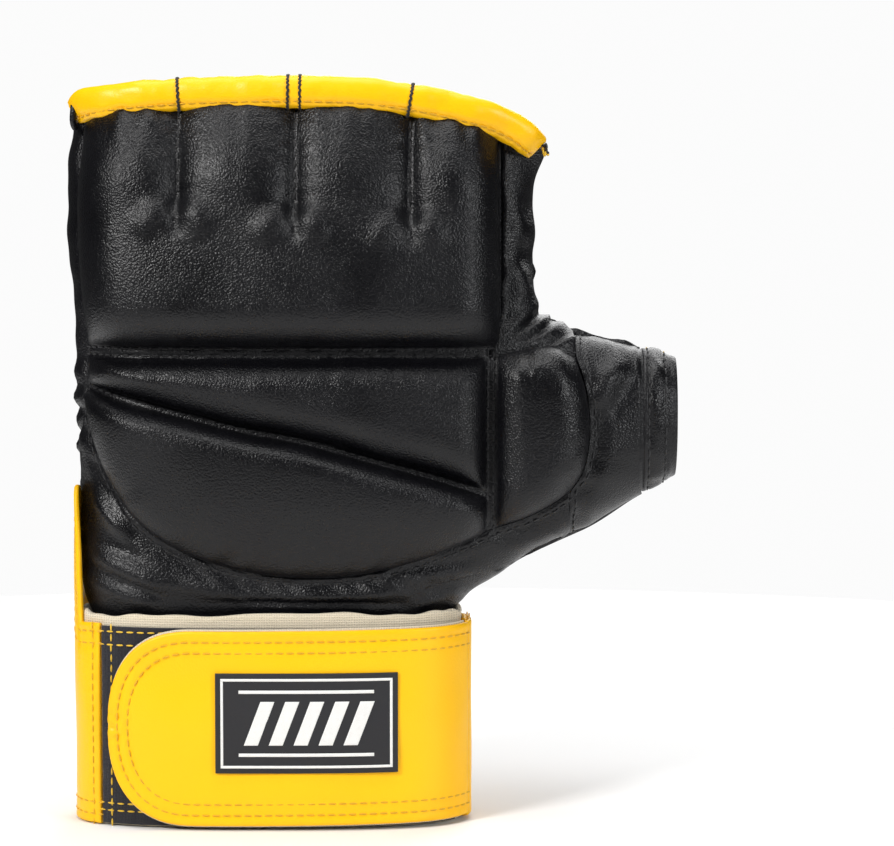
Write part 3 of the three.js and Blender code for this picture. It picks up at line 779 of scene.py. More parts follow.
FOLD_Z = 142.9
BACK_SEAM_X = 36.3
KNUCKLE_SEAM_X = 39.3
WRIST_LOW = 50.0
HEEL_Z = 77.8
GUSSET_LOW = 102.5  # where the little finger's gusset starts
ARC_START, DIAGONAL_START = 127, 131  # heights of the back's seams at the little finger's side
DIAGONAL_FINISH = 98.8
KNUCKLE_HIGH = 212.9
KNUCKLE_CORNER = (KNUCKLE_SEAM_X, 209.3)
LOBE_START, LOBE_FINISH = 200.5, 205.2  # heights of the palm's top edge at its two sides
ROLL_START = (143.5, 164.5)  # heights of the grip roll's edges at the little finger's side
ROLL_FINISH = (159.4, 173.2)  # and at the index finger's side
DARTS = ((-56.8, 187.0), (-22.0, 185.0), (12.4, 183.3))
ARC_END = (BACK_SEAM_X, 89.4)
THUMB_CORNER = (60.3, 100.6)
SLEEVE_TOP = (62.0, 140.7)

LOWER_ARC = Outline([little_point(BACK_TURN, ARC_START), (-81.7, 113), (-77, 102.7), (-69.5, 92),
                     (-57.4, 83.4), (-39, 77.4), (-21, 75.3), (-3, 76.2), (15, 80.4), (27.2, 85.3), ARC_END])
DIAGONAL = Outline([little_point(BACK_TURN, DIAGONAL_START), (-81.2, 130), (-39.3, 119.3), (-21.1, 115.8),
                    (3, 109.1), (21.1, 104), (BACK_SEAM_X, DIAGONAL_FINISH)])
TONGUE = Outline([ARC_END, (47, 92.8), (56, 97.5), THUMB_CORNER])
THUMB_PAD_SIDE = Outline([THUMB_CORNER, (64.4, 107), (66.3, 118), (65.3, 130), SLEEVE_TOP])
FOLD_LINE = Outline([little_point(BACK_TURN, FOLD_Z), (BACK_SEAM_X, FOLD_Z)])
KNUCKLE_TOP = Outline([little_point(BACK_TURN, KNUCKLE_HIGH), (-81.5, 215.4), (-57, 217.6), (-21, 218.4),
                       (3, 217.3), (27, 213.1), KNUCKLE_CORNER])
THUMB_SEAM = Outline([(-6, HEEL_Z), (-2.4, 93), (8.6, 110), (23.5, 129.6), (37, 143.4), (45, 149.8),
                      index_edge(153.6, 153.7)(0.0)])
ROLL_LOW = Outline([little_point(PALM_TURN, ROLL_START[0]), (-32, 146), (-17, 147.5), (3, 149.7), (23, 152.6),
                    (40, 156.9), index_edge(159.4, 159.5)(0.0)])
ROLL_HIGH = Outline([little_point(PALM_TURN, ROLL_START[1]), (-50, 166.3), (-24, 169), (-4, 171), (13, 172.9),
                     (29.8, 174.2), (40, 173.8), index_edge(173.2, 173.3)(0.0)])
LOBES = Outline([(-85.6, 200.5), (-75, 203.4), (-68.4, 203.2), (-65.6, 200.4), (-59.5, 190), (-55.4, 184.2),
                 (-53.8, 183.2), (-52.4, 184.4), (-49.5, 192), (-46.7, 202.2), (-44.4, 205.2), (-38, 208.4),
                 (-34.4, 210), (-31.4, 208.2), (-26.5, 199), (-19.6, 186), (-17.4, 183.8), (-15.4, 185.6),
                 (-10.8, 200), (-8.4, 209.2), (-5.8, 211.6), (3, 213.6), (11.8, 215.2), (14.3, 213.4),
                 (15.8, 200), (17.2, 186.4), (18.6, 184), (20.6, 185.8), (27, 196.5), (32.6, 205.6),
                 (35.4, 208.2), (44, 207.2), (51.4, 205.2)])
NOTCHES = (-53.8, -17.4, 18.6)  # X of the notches between the lobes
LOBE_HEM = (1.5, 4.3)  # stitch rows below the lobes' edge
HEM_ROWS = (1.7, 7.1)  # stitch rows round the thumb's hem
PALM_ROW = 1.7
PAD_ROW = 1.1
CUFF_EXIT = (62, 68)  # heights between which the wrist's leather comes out of the cuff


def face_skin(face, bottom, top, left, right, step=1.4):
    return Skin(hand_surface(patch(bottom, top, left, right, step), face), (0, face, 0))


def pad_height(skin, thick, edges):
    """A foam pad's height. edges gives, for each side, the flat flange's width and the rounding's radius."""
    full = 1.0
    for edge, (flange, radius) in edges.items():
        full = full * rise(np.maximum(getattr(skin, edge) - flange, 0), radius)
    return FLAT + (thick - FLAT) * full


# ---- Pieces -----------------------------------------------------------------------------------------------

def knuckle_darts(skin, height):
    """Sews three darts into the knuckle pad, from its top edge down."""
    x, z = skin.x, skin.z
    for k, (at, end) in enumerate(DARTS):
        away = np.abs(x - at)
        along = smooth(z, end - 4, end + 3)
        depth = 4.4 - 1.0 * smooth(z, 196, 214)
        height = height - along * (depth * np.exp(-away / 2.6) + 1.7 * np.exp(-(away / 9) ** 2))
        creases = np.sin(z * 2 * math.pi / 6.2 + k * 2.1) + 0.7 * np.sin(z * 2 * math.pi / 3.7 + k)
        height = height + along * 0.22 * creases * np.exp(-away / 5) * smooth(away, 0.3, 2.4)
        for side, reach in ((-1, 11.0), (1, 9.0)):
            height = height + fold(x, z, (at + side * 3.4, end + 3), (at + side * reach, end - 9), 3.4, 1.2)
        height = height - fold(x, z, (at, end + 2), (at, end - 9), 2.0, 1.6)
    return height


class GLOVE_OT_knuckle_pad(bpy.types.Operator):
    """Make the pad over the knuckles, with its three sewn darts"""

    bl_idname = "glove.knuckle_pad"
    bl_label = "Knuckle Pad"

    def execute(self, context):
        skin = face_skin(BACK, Outline([little_point(BACK_TURN, FOLD_Z), (KNUCKLE_SEAM_X, FOLD_Z)]),
                         KNUCKLE_TOP, little_edge(BACK_TURN, FOLD_Z, KNUCKLE_HIGH),
                         Outline([(KNUCKLE_SEAM_X, FOLD_Z), KNUCKLE_CORNER]), 1.05)
        skin.lean((0, -1, 0), 0.75)
        thick = sizes()["knuckle_pad"]
        height = pad_height(skin, thick, {"left": (0.6, 17), "right": (0.8, 13), "bottom": (FLANGE, 12.5)})
        height = FLAT + (height - FLAT) * (0.30 + 0.70 * rise(skin.top, 25))
        height = knuckle_darts(skin, height)
        height = height + 0.28 * ripples(skin.points, 11, 34) * smooth(skin.seam(), 3, 14)
        height = creased(height, skin, (((-75, 213), (-66, 198), 3.0, 0.7),
                                        ((-66, 214), (-59.5, 206), 1.8, 0.6)))
        height = height + gathers(skin.x, skin.top, 7, 0.5, 9, 5)
        height = height + gathers(skin.x, skin.bottom, 9, 0.22, 7, 6)
        height = np.maximum(height, 0.7) + stitch_dip(skin.bottom, PAD_ROW, 0.25)
        piece = panel("knuckle_pad", skin, height, finish("Black Leather"))
        settle(piece, "fold", "black_leather", "knuckle_pad_cover", "knuckle_pad_foam", "knuckle_fold_strip")
        sew("fold", "Black Thread", skin.row("bottom", PAD_ROW),
            *(skin.cut(x, z - 1, 214.5) for x, z in DARTS))
        return {"FINISHED"}


class GLOVE_OT_back_pads(bpy.types.Operator):
    """Make the wedge pad and the half-round pad on the back of the hand"""

    bl_idname = "glove.back_pads"
    bl_label = "Back Pads"

    def execute(self, context):
        given = sizes()
        upper = face_skin(BACK, DIAGONAL, FOLD_LINE, little_edge(BACK_TURN, DIAGONAL_START, FOLD_Z),
                          Outline([(BACK_SEAM_X, DIAGONAL_FINISH), (BACK_SEAM_X, FOLD_Z)]), 1.2)
        upper.lean((0, -1, 0), 0.6)
        height = pad_height(upper, given["upper_pad"], {"left": (0.4, 12), "right": (1.7, 9),
                                                        "top": (FLANGE, 9), "bottom": (FLANGE, 12)})
        height = height + 0.22 * ripples(upper.points, 21, 30) * smooth(upper.seam(), 3, 10)
        height = height + gathers(upper.x, upper.top, 8, 0.25, 6, 22)
        height = creased(height, upper, (((-80, 139), (-62, 133.5), 2.2, 0.7),))
        height = np.maximum(height, 0.7) + stitch_dip(upper.bottom, PAD_ROW, 0.25)
        height = height + stitch_dip(upper.top, PAD_ROW, 0.25)
        piece = panel("upper_back_pad", upper, height, finish("Black Leather"))
        settle(piece, "hand", "black_leather", "upper_back_pad_cover", "upper_back_pad_foam")
        sew("hand", "Black Thread", upper.row("bottom", PAD_ROW), upper.row("top", PAD_ROW),
            upper.row("right", 0.9))

        lower = face_skin(BACK, LOWER_ARC, DIAGONAL, little_edge(BACK_TURN, ARC_START, DIAGONAL_START),
                          Outline([ARC_END, (BACK_SEAM_X, DIAGONAL_FINISH)]), 1.2)
        lower.lean((0, -1, 0), 0.6)
        crest = given["lower_pad"] * rise(lower.top, 5.5) * (1 - 0.16 * smooth(lower.top, 6, 30))
        height = FLAT + ((crest - FLAT) * rise(lower.bottom, 24) ** 0.8
                         * rise(np.maximum(lower.right - 1.5, 0), 9))
        height = height + 0.22 * ripples(lower.points, 31, 36) * smooth(lower.seam(), 3, 12)
        height = height + gathers(lower.along, lower.bottom, 9, 0.3, 7, 32)
        height = np.maximum(height, 0.7)
        piece = panel("lower_back_pad", lower, height, finish("Black Leather"))
        settle(piece, "hand", "black_leather", "lower_back_pad_cover", "lower_back_pad_foam")
        return {"FINISHED"}


class GLOVE_OT_thumb_pad(bpy.types.Operator):
    """Make the pad at the base of the thumb"""

    bl_idname = "glove.thumb_pad"
    bl_label = "Thumb Pad"

    def execute(self, context):
        corner = (BACK_SEAM_X, 141.8)
        top = Outline([corner, (45, 143.6), (55, 143.8), SLEEVE_TOP])
        skin = face_skin(BACK, TONGUE, top, Outline([ARC_END, corner]), THUMB_PAD_SIDE, 1.15)
        skin.lean((0, -1, 0), 0.6)
        height = pad_height(skin, sizes()["thumb_pad"], {"left": (1.7, 10), "right": (0.2, 9),
                                                         "top": (0.4, 9), "bottom": (0.2, 11)})
        height = height + 0.25 * ripples(skin.points, 41, 26) * smooth(skin.seam(), 2, 9)
        height = height + gathers(skin.z, skin.right, 7, 0.3, 5, 42)
        height = height + gathers(skin.x, skin.top, 6, 0.45, 6, 43)
        height = creased(height, skin, (((41, 139), (46, 132), 1.8, 0.6), ((51, 139), (48.5, 134), 1.6, 0.5)))
        height = np.maximum(height, 0.7)
        piece = panel("thumb_pad", skin, height, finish("Black Leather"))
        settle(piece, "hand", "black_leather", "thumb_pad_cover", "thumb_pad_foam")
        sew("hand", "Black Thread", skin.row("left", 0.9))
        return {"FINISHED"}


class GLOVE_OT_thumb(bpy.types.Operator):
    """Make the thumb's sleeve and the hem round its open end"""

    bl_idname = "glove.thumb"
    bl_label = "Thumb"

    def execute(self, context):
        low = float(THUMB_SIDE.where(0, 60.0)), float(THUMB_SIDE.where(0, THUMB_HEM_X))
        bottom = Outline(THUMB_SIDE(np.linspace(low[0], low[1], 24)), bent=False)
        high = [float(INDEX_SIDE.where(1, z)) for z in (146.2, 142.9)]
        top = Outline(INDEX_SIDE(np.linspace(high[0], high[1], 24)), bent=False)
        left = chain([bottom(0.0)], THUMB_PAD_SIDE, [top(0.0)])
        skin = face_skin(BACK, bottom, top, left, Outline([bottom(1.0), top(1.0)]), 1.2)
        height = 1.0 + 0.9 * smooth(skin.left, 2.5, 7)
        height = height + 0.35 * ripples(skin.points, 51, 22) * smooth(skin.left, 1, 6)
        height = height + gathers(skin.z, skin.left, 8, 0.45, 7, 52)
        height = height + gathers(skin.x, skin.top, 7, 0.4, 7, 53)
        folds = (((66.5, 128), (76, 138.5), 3.4, 1.7), ((67, 122), (73, 125), 2.2, 0.9),
                 ((69, 121), (80, 133), 2.6, -0.9), ((63, 143), (67, 133), 2.2, 0.8))
        height = creased(height, skin, folds)
        height = height + stitch_dip(skin.left, 1.7, 0.25)
        height = np.where(skin.right < 1.2, np.minimum(height, 1.3), height)
        piece = panel("thumb_sleeve_back", skin, height, finish("Black Leather"))
        settle(piece, "thumb", "black_leather", "thumb_sleeve")
        sew("thumb", "Black Thread", skin.row("left", 1.7))

        u = np.linspace(0, 2 * math.pi, 97)[:-1]
        on_back = (np.sin(u) > 0)[:, None]
        rows = []
        for x in THUMB_HEM_X - 0.3 + (THUMB_TIP_X - THUMB_HEM_X + 0.1) * spread(11, 1.0):
            z_low = THUMB_SIDE(THUMB_SIDE.where(0, x))[1]
            z_high = np.interp(x, INDEX_SIDE.line[-80:, 0], INDEX_SIDE.line[-80:, 1])
            up = np.sign(np.cos(u)) * np.abs(np.cos(u)) ** 0.9
            plan = np.stack([np.full(len(u), x), (z_low + z_high) / 2 + (z_high - z_low) / 2 * up], -1)
            rows.append(np.where(on_back, hand_surface(plan, BACK), hand_surface(plan, PALM)))
        points = np.array(rows)
        middle = np.array([88, 9, 122.0])
        skin = Skin(points, unit((points - middle) * (0, 1, 1)), ring=True)
        height = 1.3 + 0.5 * rise(skin.seam(), 1.6)
        for offset in HEM_ROWS:
            height = height + stitch_dip(skin.bottom, offset, 0.5)
        height = height + 0.4 * ripples(points, 55, 9) * smooth(skin.seam(), 0.5, 3)
        height = height - 1.4 * smooth(skin.bottom, 4, 11)
        piece = panel("thumb_hem", skin, height, finish("Black Leather"), inner=-0.6)
        settle(piece, "thumb", "black_leather", "thumb_hem")
        for offset in HEM_ROWS:
            line = skin.row("bottom", offset)
            turn = np.arctan2(line[:, 1] - middle[1], line[:, 2] - middle[2])
            back = np.abs(np.degrees(turn) + 90) < 86
            first = -int(np.argmin(back))
            sew("thumb", "Black Thread", np.roll(line, first, 0)[np.roll(back, first)])
            sew("thumb", "Contrast Thread", line[np.abs(np.degrees(turn) - 90) < 86])
        return {"FINISHED"}


class GLOVE_OT_gussets(bpy.types.Operator):
    """Make the gussets round the little finger's side and the index finger's side"""

    bl_idname = "glove.gussets"
    bl_label = "Side Gussets"

    def execute(self, context):
        side = side_line(LITTLE_SIDE, GUSSET_LOW, KNUCKLE_HIGH, 60)
        points = round_patch(little_edge(BACK_TURN + UNDERLAP, GUSSET_LOW, KNUCKLE_HIGH), side,
                             little_edge(PALM_TURN + UNDERLAP, GUSSET_LOW, LOBE_START), 1.4)
        skin = Skin(points, (-1, 0, 0))
        z = skin.z
        edge = np.minimum(skin.bottom, skin.top)
        height = 0.7 + 0.55 * smooth(edge, 0.5, 4) + 0.45 * ripples(points, 61, 15) * smooth(edge, 0, 3)
        for at, lift, width in ((136, 1.2, 3.2), (128.5, 1.7, 2.6), (121, 0.9, 3.0), (113, 1.6, 2.6),
                                (107, 0.8, 2.2)):
            height = height + lift * bump(z, at, width) * smooth(edge, 0, 4)
        for at, width in ((124.8, 1.3), (117, 1.4)):
            height = height - 0.9 * bump(z, at, width) * smooth(edge, 0, 3)
        height = height + stitch_dip(skin.bottom, 1.4, 0.25)
        piece = panel("little_finger_gusset", skin, height, finish("Black Leather"))
        settle(piece, "fold", "black_leather", "little_finger_side_upper", "little_finger_side_lower")
        sew("fold", "Black Thread", skin.row("bottom", 1.4, 0.1, 0.97))

        side = INDEX_SIDE.between(1, 204.5, 146.25, 60)
        back = chain(Outline([(KNUCKLE_SEAM_X, 208), (KNUCKLE_SEAM_X, 160), (KNUCKLE_SEAM_X - 0.6, 150)]),
                     Outline([(37.2, 146.5), (35.6, 143.2), (36.2, 140.6), (46, 140.4), SLEEVE_TOP]))
        t = INDEX_SIDE.where(1, np.linspace(204.5, 146.25, 60))
        palm = Outline(side_plan(INDEX_SIDE, t, INDEX_TURN + 2 * UNDERLAP), bent=False)
        points = round_patch(back, side, palm, 1.3)
        skin = Skin(points, (1, 0, 0.3))
        height = 0.9 + 0.9 * smooth(skin.bottom, 1.5, 6)
        height = height + 0.5 * ripples(points, 71, 17) * smooth(skin.bottom, 1, 5)
        height = height + gathers(skin.z, skin.bottom, 9, 0.5, 8, 72) + stitch_dip(skin.bottom, 1.3, 0.3)
        folds = (((38, 143), (55, 152), 2.0, 2.4), ((42, 142), (60, 148.4), 1.7, 2.2),
                 ((48, 141.6), (63, 145), 1.4, 1.6), ((39, 147), (50, 158), 2.2, 1.6),
                 ((41, 170), (47, 157), 2.6, 1.5), ((41, 190), (46, 174), 3.0, 1.1),
                 ((38, 142.6), (54, 149), 1.1, -1.3), ((40, 145.4), (52, 154), 1.2, -1.3),
                 ((46, 141), (61, 145.6), 0.9, -1.3))
        height = creased(height, skin, folds)
        tucked = 0.6
        height = tucked + (height - tucked) * smooth(skin.top, 0.8, 3.4)
        height = np.where(skin.seam() < 0.4, np.minimum(height, 0.9), height)
        piece = panel("index_finger_gusset", skin, height, finish("Black Leather"))
        settle(piece, "fold", "black_leather", "index_side_panel", "thumb_crotch_panel")
        sew("fold", "Black Thread", skin.row("bottom", 1.3))
        return {"FINISHED"}


class GLOVE_OT_wrist(bpy.types.Operator):
    """Make the wrist leather on the back and on the palm side, down into the cuff"""

    bl_idname = "glove.wrist"
    bl_label = "Wrist"

    def execute(self, context):
        bottom = Outline([LITTLE_SIDE(LITTLE_SIDE.where(1, WRIST_LOW)),
                          THUMB_SIDE(THUMB_SIDE.where(1, WRIST_LOW))])
        left = chain(side_line(LITTLE_SIDE, WRIST_LOW, GUSSET_LOW, 30),
                     little_edge(BACK_TURN, GUSSET_LOW + 0.1, ARC_START))
        t = np.linspace(float(THUMB_SIDE.where(1, WRIST_LOW)), float(THUMB_SIDE.where(0, 60.0)), 50)
        right = chain(THUMB_SIDE(t), [THUMB_CORNER])
        skin = face_skin(BACK, bottom, chain(LOWER_ARC, TONGUE.line[1:]), left, right, 1.35)
        out = smooth(skin.z, *CUFF_EXIT)
        height = 0.9 + (0.9 * smooth(skin.top, 2.5, 7) + 0.4 * ripples(skin.points, 81, 24)) * out
        height = height + out * gathers(skin.x + skin.z, skin.top, 8, 0.5, 7, 82)
        height = height + stitch_dip(skin.top, 1.9, 0.3)
        folds = (((-84, 82), (-60, 72), 3.2, 1.9), ((-86, 74), (-64, 67), 2.6, 1.2),
                 ((-84, 100), (-72, 88), 3.0, 1.3), ((-62, 74), (-30, 68), 3.0, 1.0),
                 ((-30, 70), (16, 71), 2.6, 1.1), ((2, 74), (34, 79), 2.2, 1.1),
                 ((20, 80), (38, 87), 1.8, 0.9), ((40, 84), (60, 92), 2.2, 0.7),
                 ((14, 66), (27, 73), 2.0, 1.0), ((-85, 78), (-62, 69.5), 1.3, -0.8),
                 ((-50, 68), (10, 67.5), 1.2, -0.8), ((6, 77), (30, 80), 1.1, -0.8))
        height = creased(height, skin, folds, out)
        height = np.where(skin.seam() < 0.3, np.minimum(height, FLAT), np.maximum(height, 0.6))
        piece = panel("wrist_back", skin, height, finish("Black Leather"))
        settle(piece, "wrist", "black_leather", "wrist_back_panel")
        sew("wrist", "Black Thread", skin.row("top", 1.9))

        left = side_line(LITTLE_SIDE, WRIST_LOW, HEEL_Z, 20)
        t = np.linspace(float(THUMB_SIDE.where(1, WRIST_LOW)), float(THUMB_SIDE.where(1, HEEL_Z)), 24)
        right = Outline(THUMB_SIDE(t), bent=False)
        skin = face_skin(PALM, bottom, Outline([left(1.0), right(1.0)]), left, right, 1.5)
        out = smooth(skin.z, *CUFF_EXIT)
        height = 0.9 + (0.7 * smooth(skin.top, 2.2, 5) + 0.4 * ripples(skin.points, 85, 20)) * out
        folds = (((-78, 73), (-20, 69), 2.6, 1.0), ((-30, 67), (20, 70), 2.4, 1.0))
        height = creased(height, skin, folds, out)
        height = height + stitch_dip(skin.top, PALM_ROW, 0.35)
        height = np.where(skin.seam() < 0.3, np.minimum(height, FLAT), height)
        piece = panel("palm_heel", skin, height, finish("Black Leather"))
        settle(piece, "wrist", "black_leather", "palm_heel_panel")
        sew("wrist", "Contrast Thread", skin.row("top", PALM_ROW))
        return {"FINISHED"}


class GLOVE_OT_palm(bpy.types.Operator):
    """Make the palm: the centre, the thumb's ball, the grip roll and the finger lobes"""

    bl_idname = "glove.palm"
    bl_label = "Palm"

    def execute(self, context):
        black = finish("Black Leather")
        low_left = LITTLE_SIDE(LITTLE_SIDE.where(1, HEEL_Z))
        left = chain(side_line(LITTLE_SIDE, HEEL_Z, GUSSET_LOW, 20),
                     little_edge(PALM_TURN, GUSSET_LOW + 0.1, ROLL_START[0]))
        right = chain(THUMB_SEAM, index_edge(153.8, ROLL_FINISH[0]))
        skin = face_skin(PALM, Outline([low_left, (-6, HEEL_Z)]), ROLL_LOW, left, right, 1.5)
        rows = np.minimum(np.minimum(skin.bottom, skin.top), skin.right)
        height = FLAT + stitch_dip(rows, PALM_ROW, 0.3) + 1.3 * smooth(rows, 1.9, 7)
        height = height + 0.5 * ripples(skin.points, 91, 42) * smooth(rows, 2, 9)
        height = height + gathers(skin.z, skin.right, 10, 0.35, 8, 92)
        height = height + gathers(skin.x, skin.top, 12, 0.4, 8, 93)
        height = creased(height, skin, (((0, 108), (46, 152), 3.6, 1.1),))
        piece = panel("palm_centre", skin, height, black)
        settle(piece, "hand", "black_leather", "palm_centre_panel")
        sew("hand", "Contrast Thread", skin.row("bottom", PALM_ROW, 0.12, 1), skin.row("top", PALM_ROW),
            skin.row("right", PALM_ROW, 0, 0.97))

        t = np.linspace(float(THUMB_SIDE.where(1, HEEL_Z)), float(THUMB_SIDE.where(0, THUMB_HEM_X)), 40)
        bottom = chain([(-6, HEEL_Z)], THUMB_SIDE(t))
        top = chain([index_edge(153.6, 153.7)(0.0)], INDEX_SIDE.between(1, 152.6, 142.9, 30))
        skin = face_skin(PALM, bottom, top, THUMB_SEAM, Outline([bottom(1.0), top(1.0)]), 1.5)
        heel = np.abs(skin.z - HEEL_Z) + 100 * smooth(skin.x, 40, 44)
        rows = np.minimum(skin.left, np.where(skin.x < 44, heel, 99))
        height = FLAT + stitch_dip(rows, PALM_ROW, 0.3) + 1.5 * smooth(rows, 1.9, 8)
        height = height + 0.7 * ripples(skin.points, 95, 46) * smooth(skin.seam(), 2, 10)
        height = height + gathers(skin.along, skin.top, 10, 0.5, 12, 96)
        height = creased(height, skin, (((55, 150), (45, 128), 3.4, 1.6), ((60, 146), (60, 122), 3.2, 1.3),
                                        ((50, 148), (36, 132), 2.6, 1.1), ((66, 144), (76, 128), 3.4, 1.0)))
        height = np.where(skin.seam() < 0.4, np.minimum(height, FLAT), height)
        piece = panel("thumb_palm", skin, height, black)
        settle(piece, "thumb", "black_leather", "thumb_palm_panel")
        sew("thumb", "Contrast Thread", skin.row("left", PALM_ROW, 0.02, 0.98))
        line = skin.row("bottom", PALM_ROW)
        sew("thumb", "Contrast Thread", line[line[:, 0] < 39])

        skin = face_skin(PALM, ROLL_LOW, ROLL_HIGH, little_edge(PALM_TURN, *ROLL_START),
                         index_edge(*ROLL_FINISH), 1.3)
        thick = sizes()["grip_roll"]
        height = FLAT + (thick - FLAT) * rise(np.maximum(np.minimum(skin.bottom, skin.top) - 2.4, 0), 8)
        height = height * (1 - 0.45 * smooth(-skin.right, -9, 0)) * (1 - 0.3 * smooth(-skin.left, -6, 0))
        height = height + stitch_dip(np.minimum(skin.bottom, skin.top), PALM_ROW, 0.3)
        height = height + 0.4 * ripples(skin.points, 97, 26) * smooth(skin.seam(), 2, 7)
        height = height + gathers(skin.x, skin.bottom, 10, 0.3, 6, 98)
        piece = panel("grip_roll", skin, height, black)
        settle(piece, "roll", "black_leather", "grip_roll_cover", "grip_roll_filler")
        sew("roll", "Contrast Thread", skin.row("bottom", PALM_ROW), skin.row("top", PALM_ROW))

        top = LOBES(np.linspace(0, 1, 300))
        ends = [ROLL_HIGH(0.0), ROLL_HIGH(1.0)]
        share = (top[:, 0] - top[0, 0]) / (top[-1, 0] - top[0, 0])
        low_x = ends[0][0] + (ends[1][0] - ends[0][0]) * share
        order = np.argsort(ROLL_HIGH.line[:, 0])
        low_z = np.interp(low_x, ROLL_HIGH.line[order, 0], ROLL_HIGH.line[order, 1])
        v = spread(36, 1.5)[:, None, None]
        plan = (1 - v) * np.stack([low_x, low_z], -1) + v * top
        near = little_edge(PALM_TURN, ROLL_START[1], LOBE_START)
        far = index_edge(ROLL_FINISH[1], LOBE_FINISH)
        plan = plan + ((1 - share) ** 8)[:, None] * (near(v[:, 0, 0]) - plan[:, 0])[:, None]
        plan = plan + (share ** 8)[:, None] * (far(v[:, 0, 0]) - plan[:, -1])[:, None]
        skin = Skin(hand_surface(plan, PALM), (0, 1, 0))
        height = FLAT + stitch_dip(skin.bottom, PALM_ROW, 0.3) + 0.9 * smooth(skin.bottom, 1.9, 6)
        height = height + 0.55 * ripples(skin.points, 101, 17) * smooth(skin.seam(), 2, 9)
        height = creased(height, skin, [((notch + side * 2, 179), (notch + side * 17, 175.5), 2.4, 0.9)
                                        for notch in NOTCHES for side in (-1, 1)])
        height = height + 0.7 * (1 - smooth(skin.top, 5.2, 6.2))
        for offset in LOBE_HEM:
            height = height + stitch_dip(skin.top, offset, 0.3)
        height = np.where(skin.seam() < 0.3, np.minimum(height, FLAT), height)
        piece = panel("palm_fingers", skin, height, black, inner=-0.3)
        settle(piece, "fingers", "black_leather", "palm_finger_panel")
        sew("fingers", "Contrast Thread", skin.row("bottom", PALM_ROW),
            *(skin.row("top", offset) for offset in LOBE_HEM))
        return {"FINISHED"}


# The webs between the fingers: where each is tacked to the pad, and the notch of the palm that it fills.
WEBS = (
    ("little_finger_divider", -56.8, 187.5, 221.0, (-53.8, 181.8), (-67.8, 201.4), (-44.2, 203.6)),
    ("middle_divider", -22.0, 185.5, 223.0, (-17.4, 182.4), (-34.0, 208.2), (-6.0, 210.0)),
    ("index_divider", 12.4, 184.0, 221.0, (18.6, 182.6), (13.0, 212.4), (35.4, 206.6)),
)


WEB_HALF_THICK = 0.45


class GLOVE_OT_dividers(bpy.types.Operator):
    """Make the pleated webs between the fingers"""

    bl_idname = "glove.dividers"
    bl_label = "Finger Dividers"

    def execute(self, context):
        v = np.linspace(0, 1, 34)[:, None]
        u = np.concatenate([np.linspace(-1, -0.08, 36), np.linspace(-0.06, 0.06, 7),
                            np.linspace(0.08, 1, 36)])
        for name, fold_x, fold_low, fold_high, apex, near, far in WEBS:
            fold_z = fold_low + (fold_high - fold_low) * v[:, 0]
            tack = hand_surface(np.stack([np.full(len(v), fold_x), np.minimum(fold_z, 214)], -1), BACK)
            tack[:, 2] = fold_z
            tack[:, 1] += 1.2
            sides = []
            for corner in (near, far):
                plan = (1 - v) * np.array(apex) + v * np.array(corner)
                edge = hand_surface(plan, PALM)
                edge[:, 1] -= 0.9
                sides.append(edge)
            share = np.abs(u)[None, :, None]
            edge = np.where((u < 0)[None, :, None], sides[0][:, None], sides[1][:, None])
            points = tack[:, None] * (1 - share) + edge * share
            hollow = np.sin(share * math.pi)
            spread_x = np.sign(u)[None, :, None] * (1.4 * rise(share, 0.1) - 1.6 * hollow * v[:, None])
            pleats = np.sin(share * 2 * math.pi * 3.4 + 0.8) + 0.5 * np.sin(share * 2 * math.pi * 6.1)
            deep = hollow * (0.3 + 0.7 * v[:, None] - 0.7 * v[:, None] ** 4)
            spread_x = spread_x + np.sign(u)[None, :, None] * 0.8 * pleats * deep
            points = points + spread_x * np.array([1, 0, 0])
            skin = Skin(points, (0, 1, 0))
            half = skin.normal * WEB_HALF_THICK
            piece = closed_sheet(name, points + half, points - half, finish("Black Leather"),
                                 seam=skin.seam())
            settle(piece, "fingers", "black_leather", name)
        return {"FINISHED"}


BINDING_HEIGHT, BINDING_DEPTH, BINDING_OUT = 9.8, 7.0, 5.2
BINDING_POWER = 0.86
BINDING_LINE = Outline([(-90, 214.6), (-87, 216.2), (-81.5, 217.6), (-57, 219.8), (-21, 220.6), (3, 219.5),
                        (27, 215.2), (39, 211.6), (46, 207.6), (50.6, 203.4)])
TACK_RADIUS, KNOT_RADIUS = 0.42, 0.34


def binding_ring(t, angles, out=0.0):
    """Points round the rolled binding at shares t of its length. An angle of 0 faces the back of the hand."""
    plan = BINDING_LINE(t)
    middle = hand_surface(plan, BACK)
    middle[:, 1] -= BINDING_OUT
    along = unit(np.gradient(plan, axis=0))
    side = np.stack([-along[:, 1], np.zeros(len(t)), along[:, 0]], -1)
    middle[:, 1] += 0.5 * ripples(middle, 7, 60)
    end = np.minimum(t, 1 - t) * BINDING_LINE.length
    size = 0.55 + 0.45 * rise(end, 5)
    pinch = sum(bump(plan[:, 0], at, 1.1) for at, _ in DARTS)
    size = size * (1 - 0.07 * pinch)
    front = np.sign(np.cos(angles)) * np.abs(np.cos(angles)) ** BINDING_POWER
    upward = np.sign(np.sin(angles)) * np.abs(np.sin(angles)) ** BINDING_POWER
    depth = (BINDING_DEPTH / 2 + out) * size
    height = (BINDING_HEIGHT / 2 + out) * (0.25 + 0.75 * size)
    return (middle[:, None] - np.array([0, 1.0, 0]) * (depth[:, None] * front)[..., None]
            + side[:, None] * (height[:, None] * upward)[..., None])


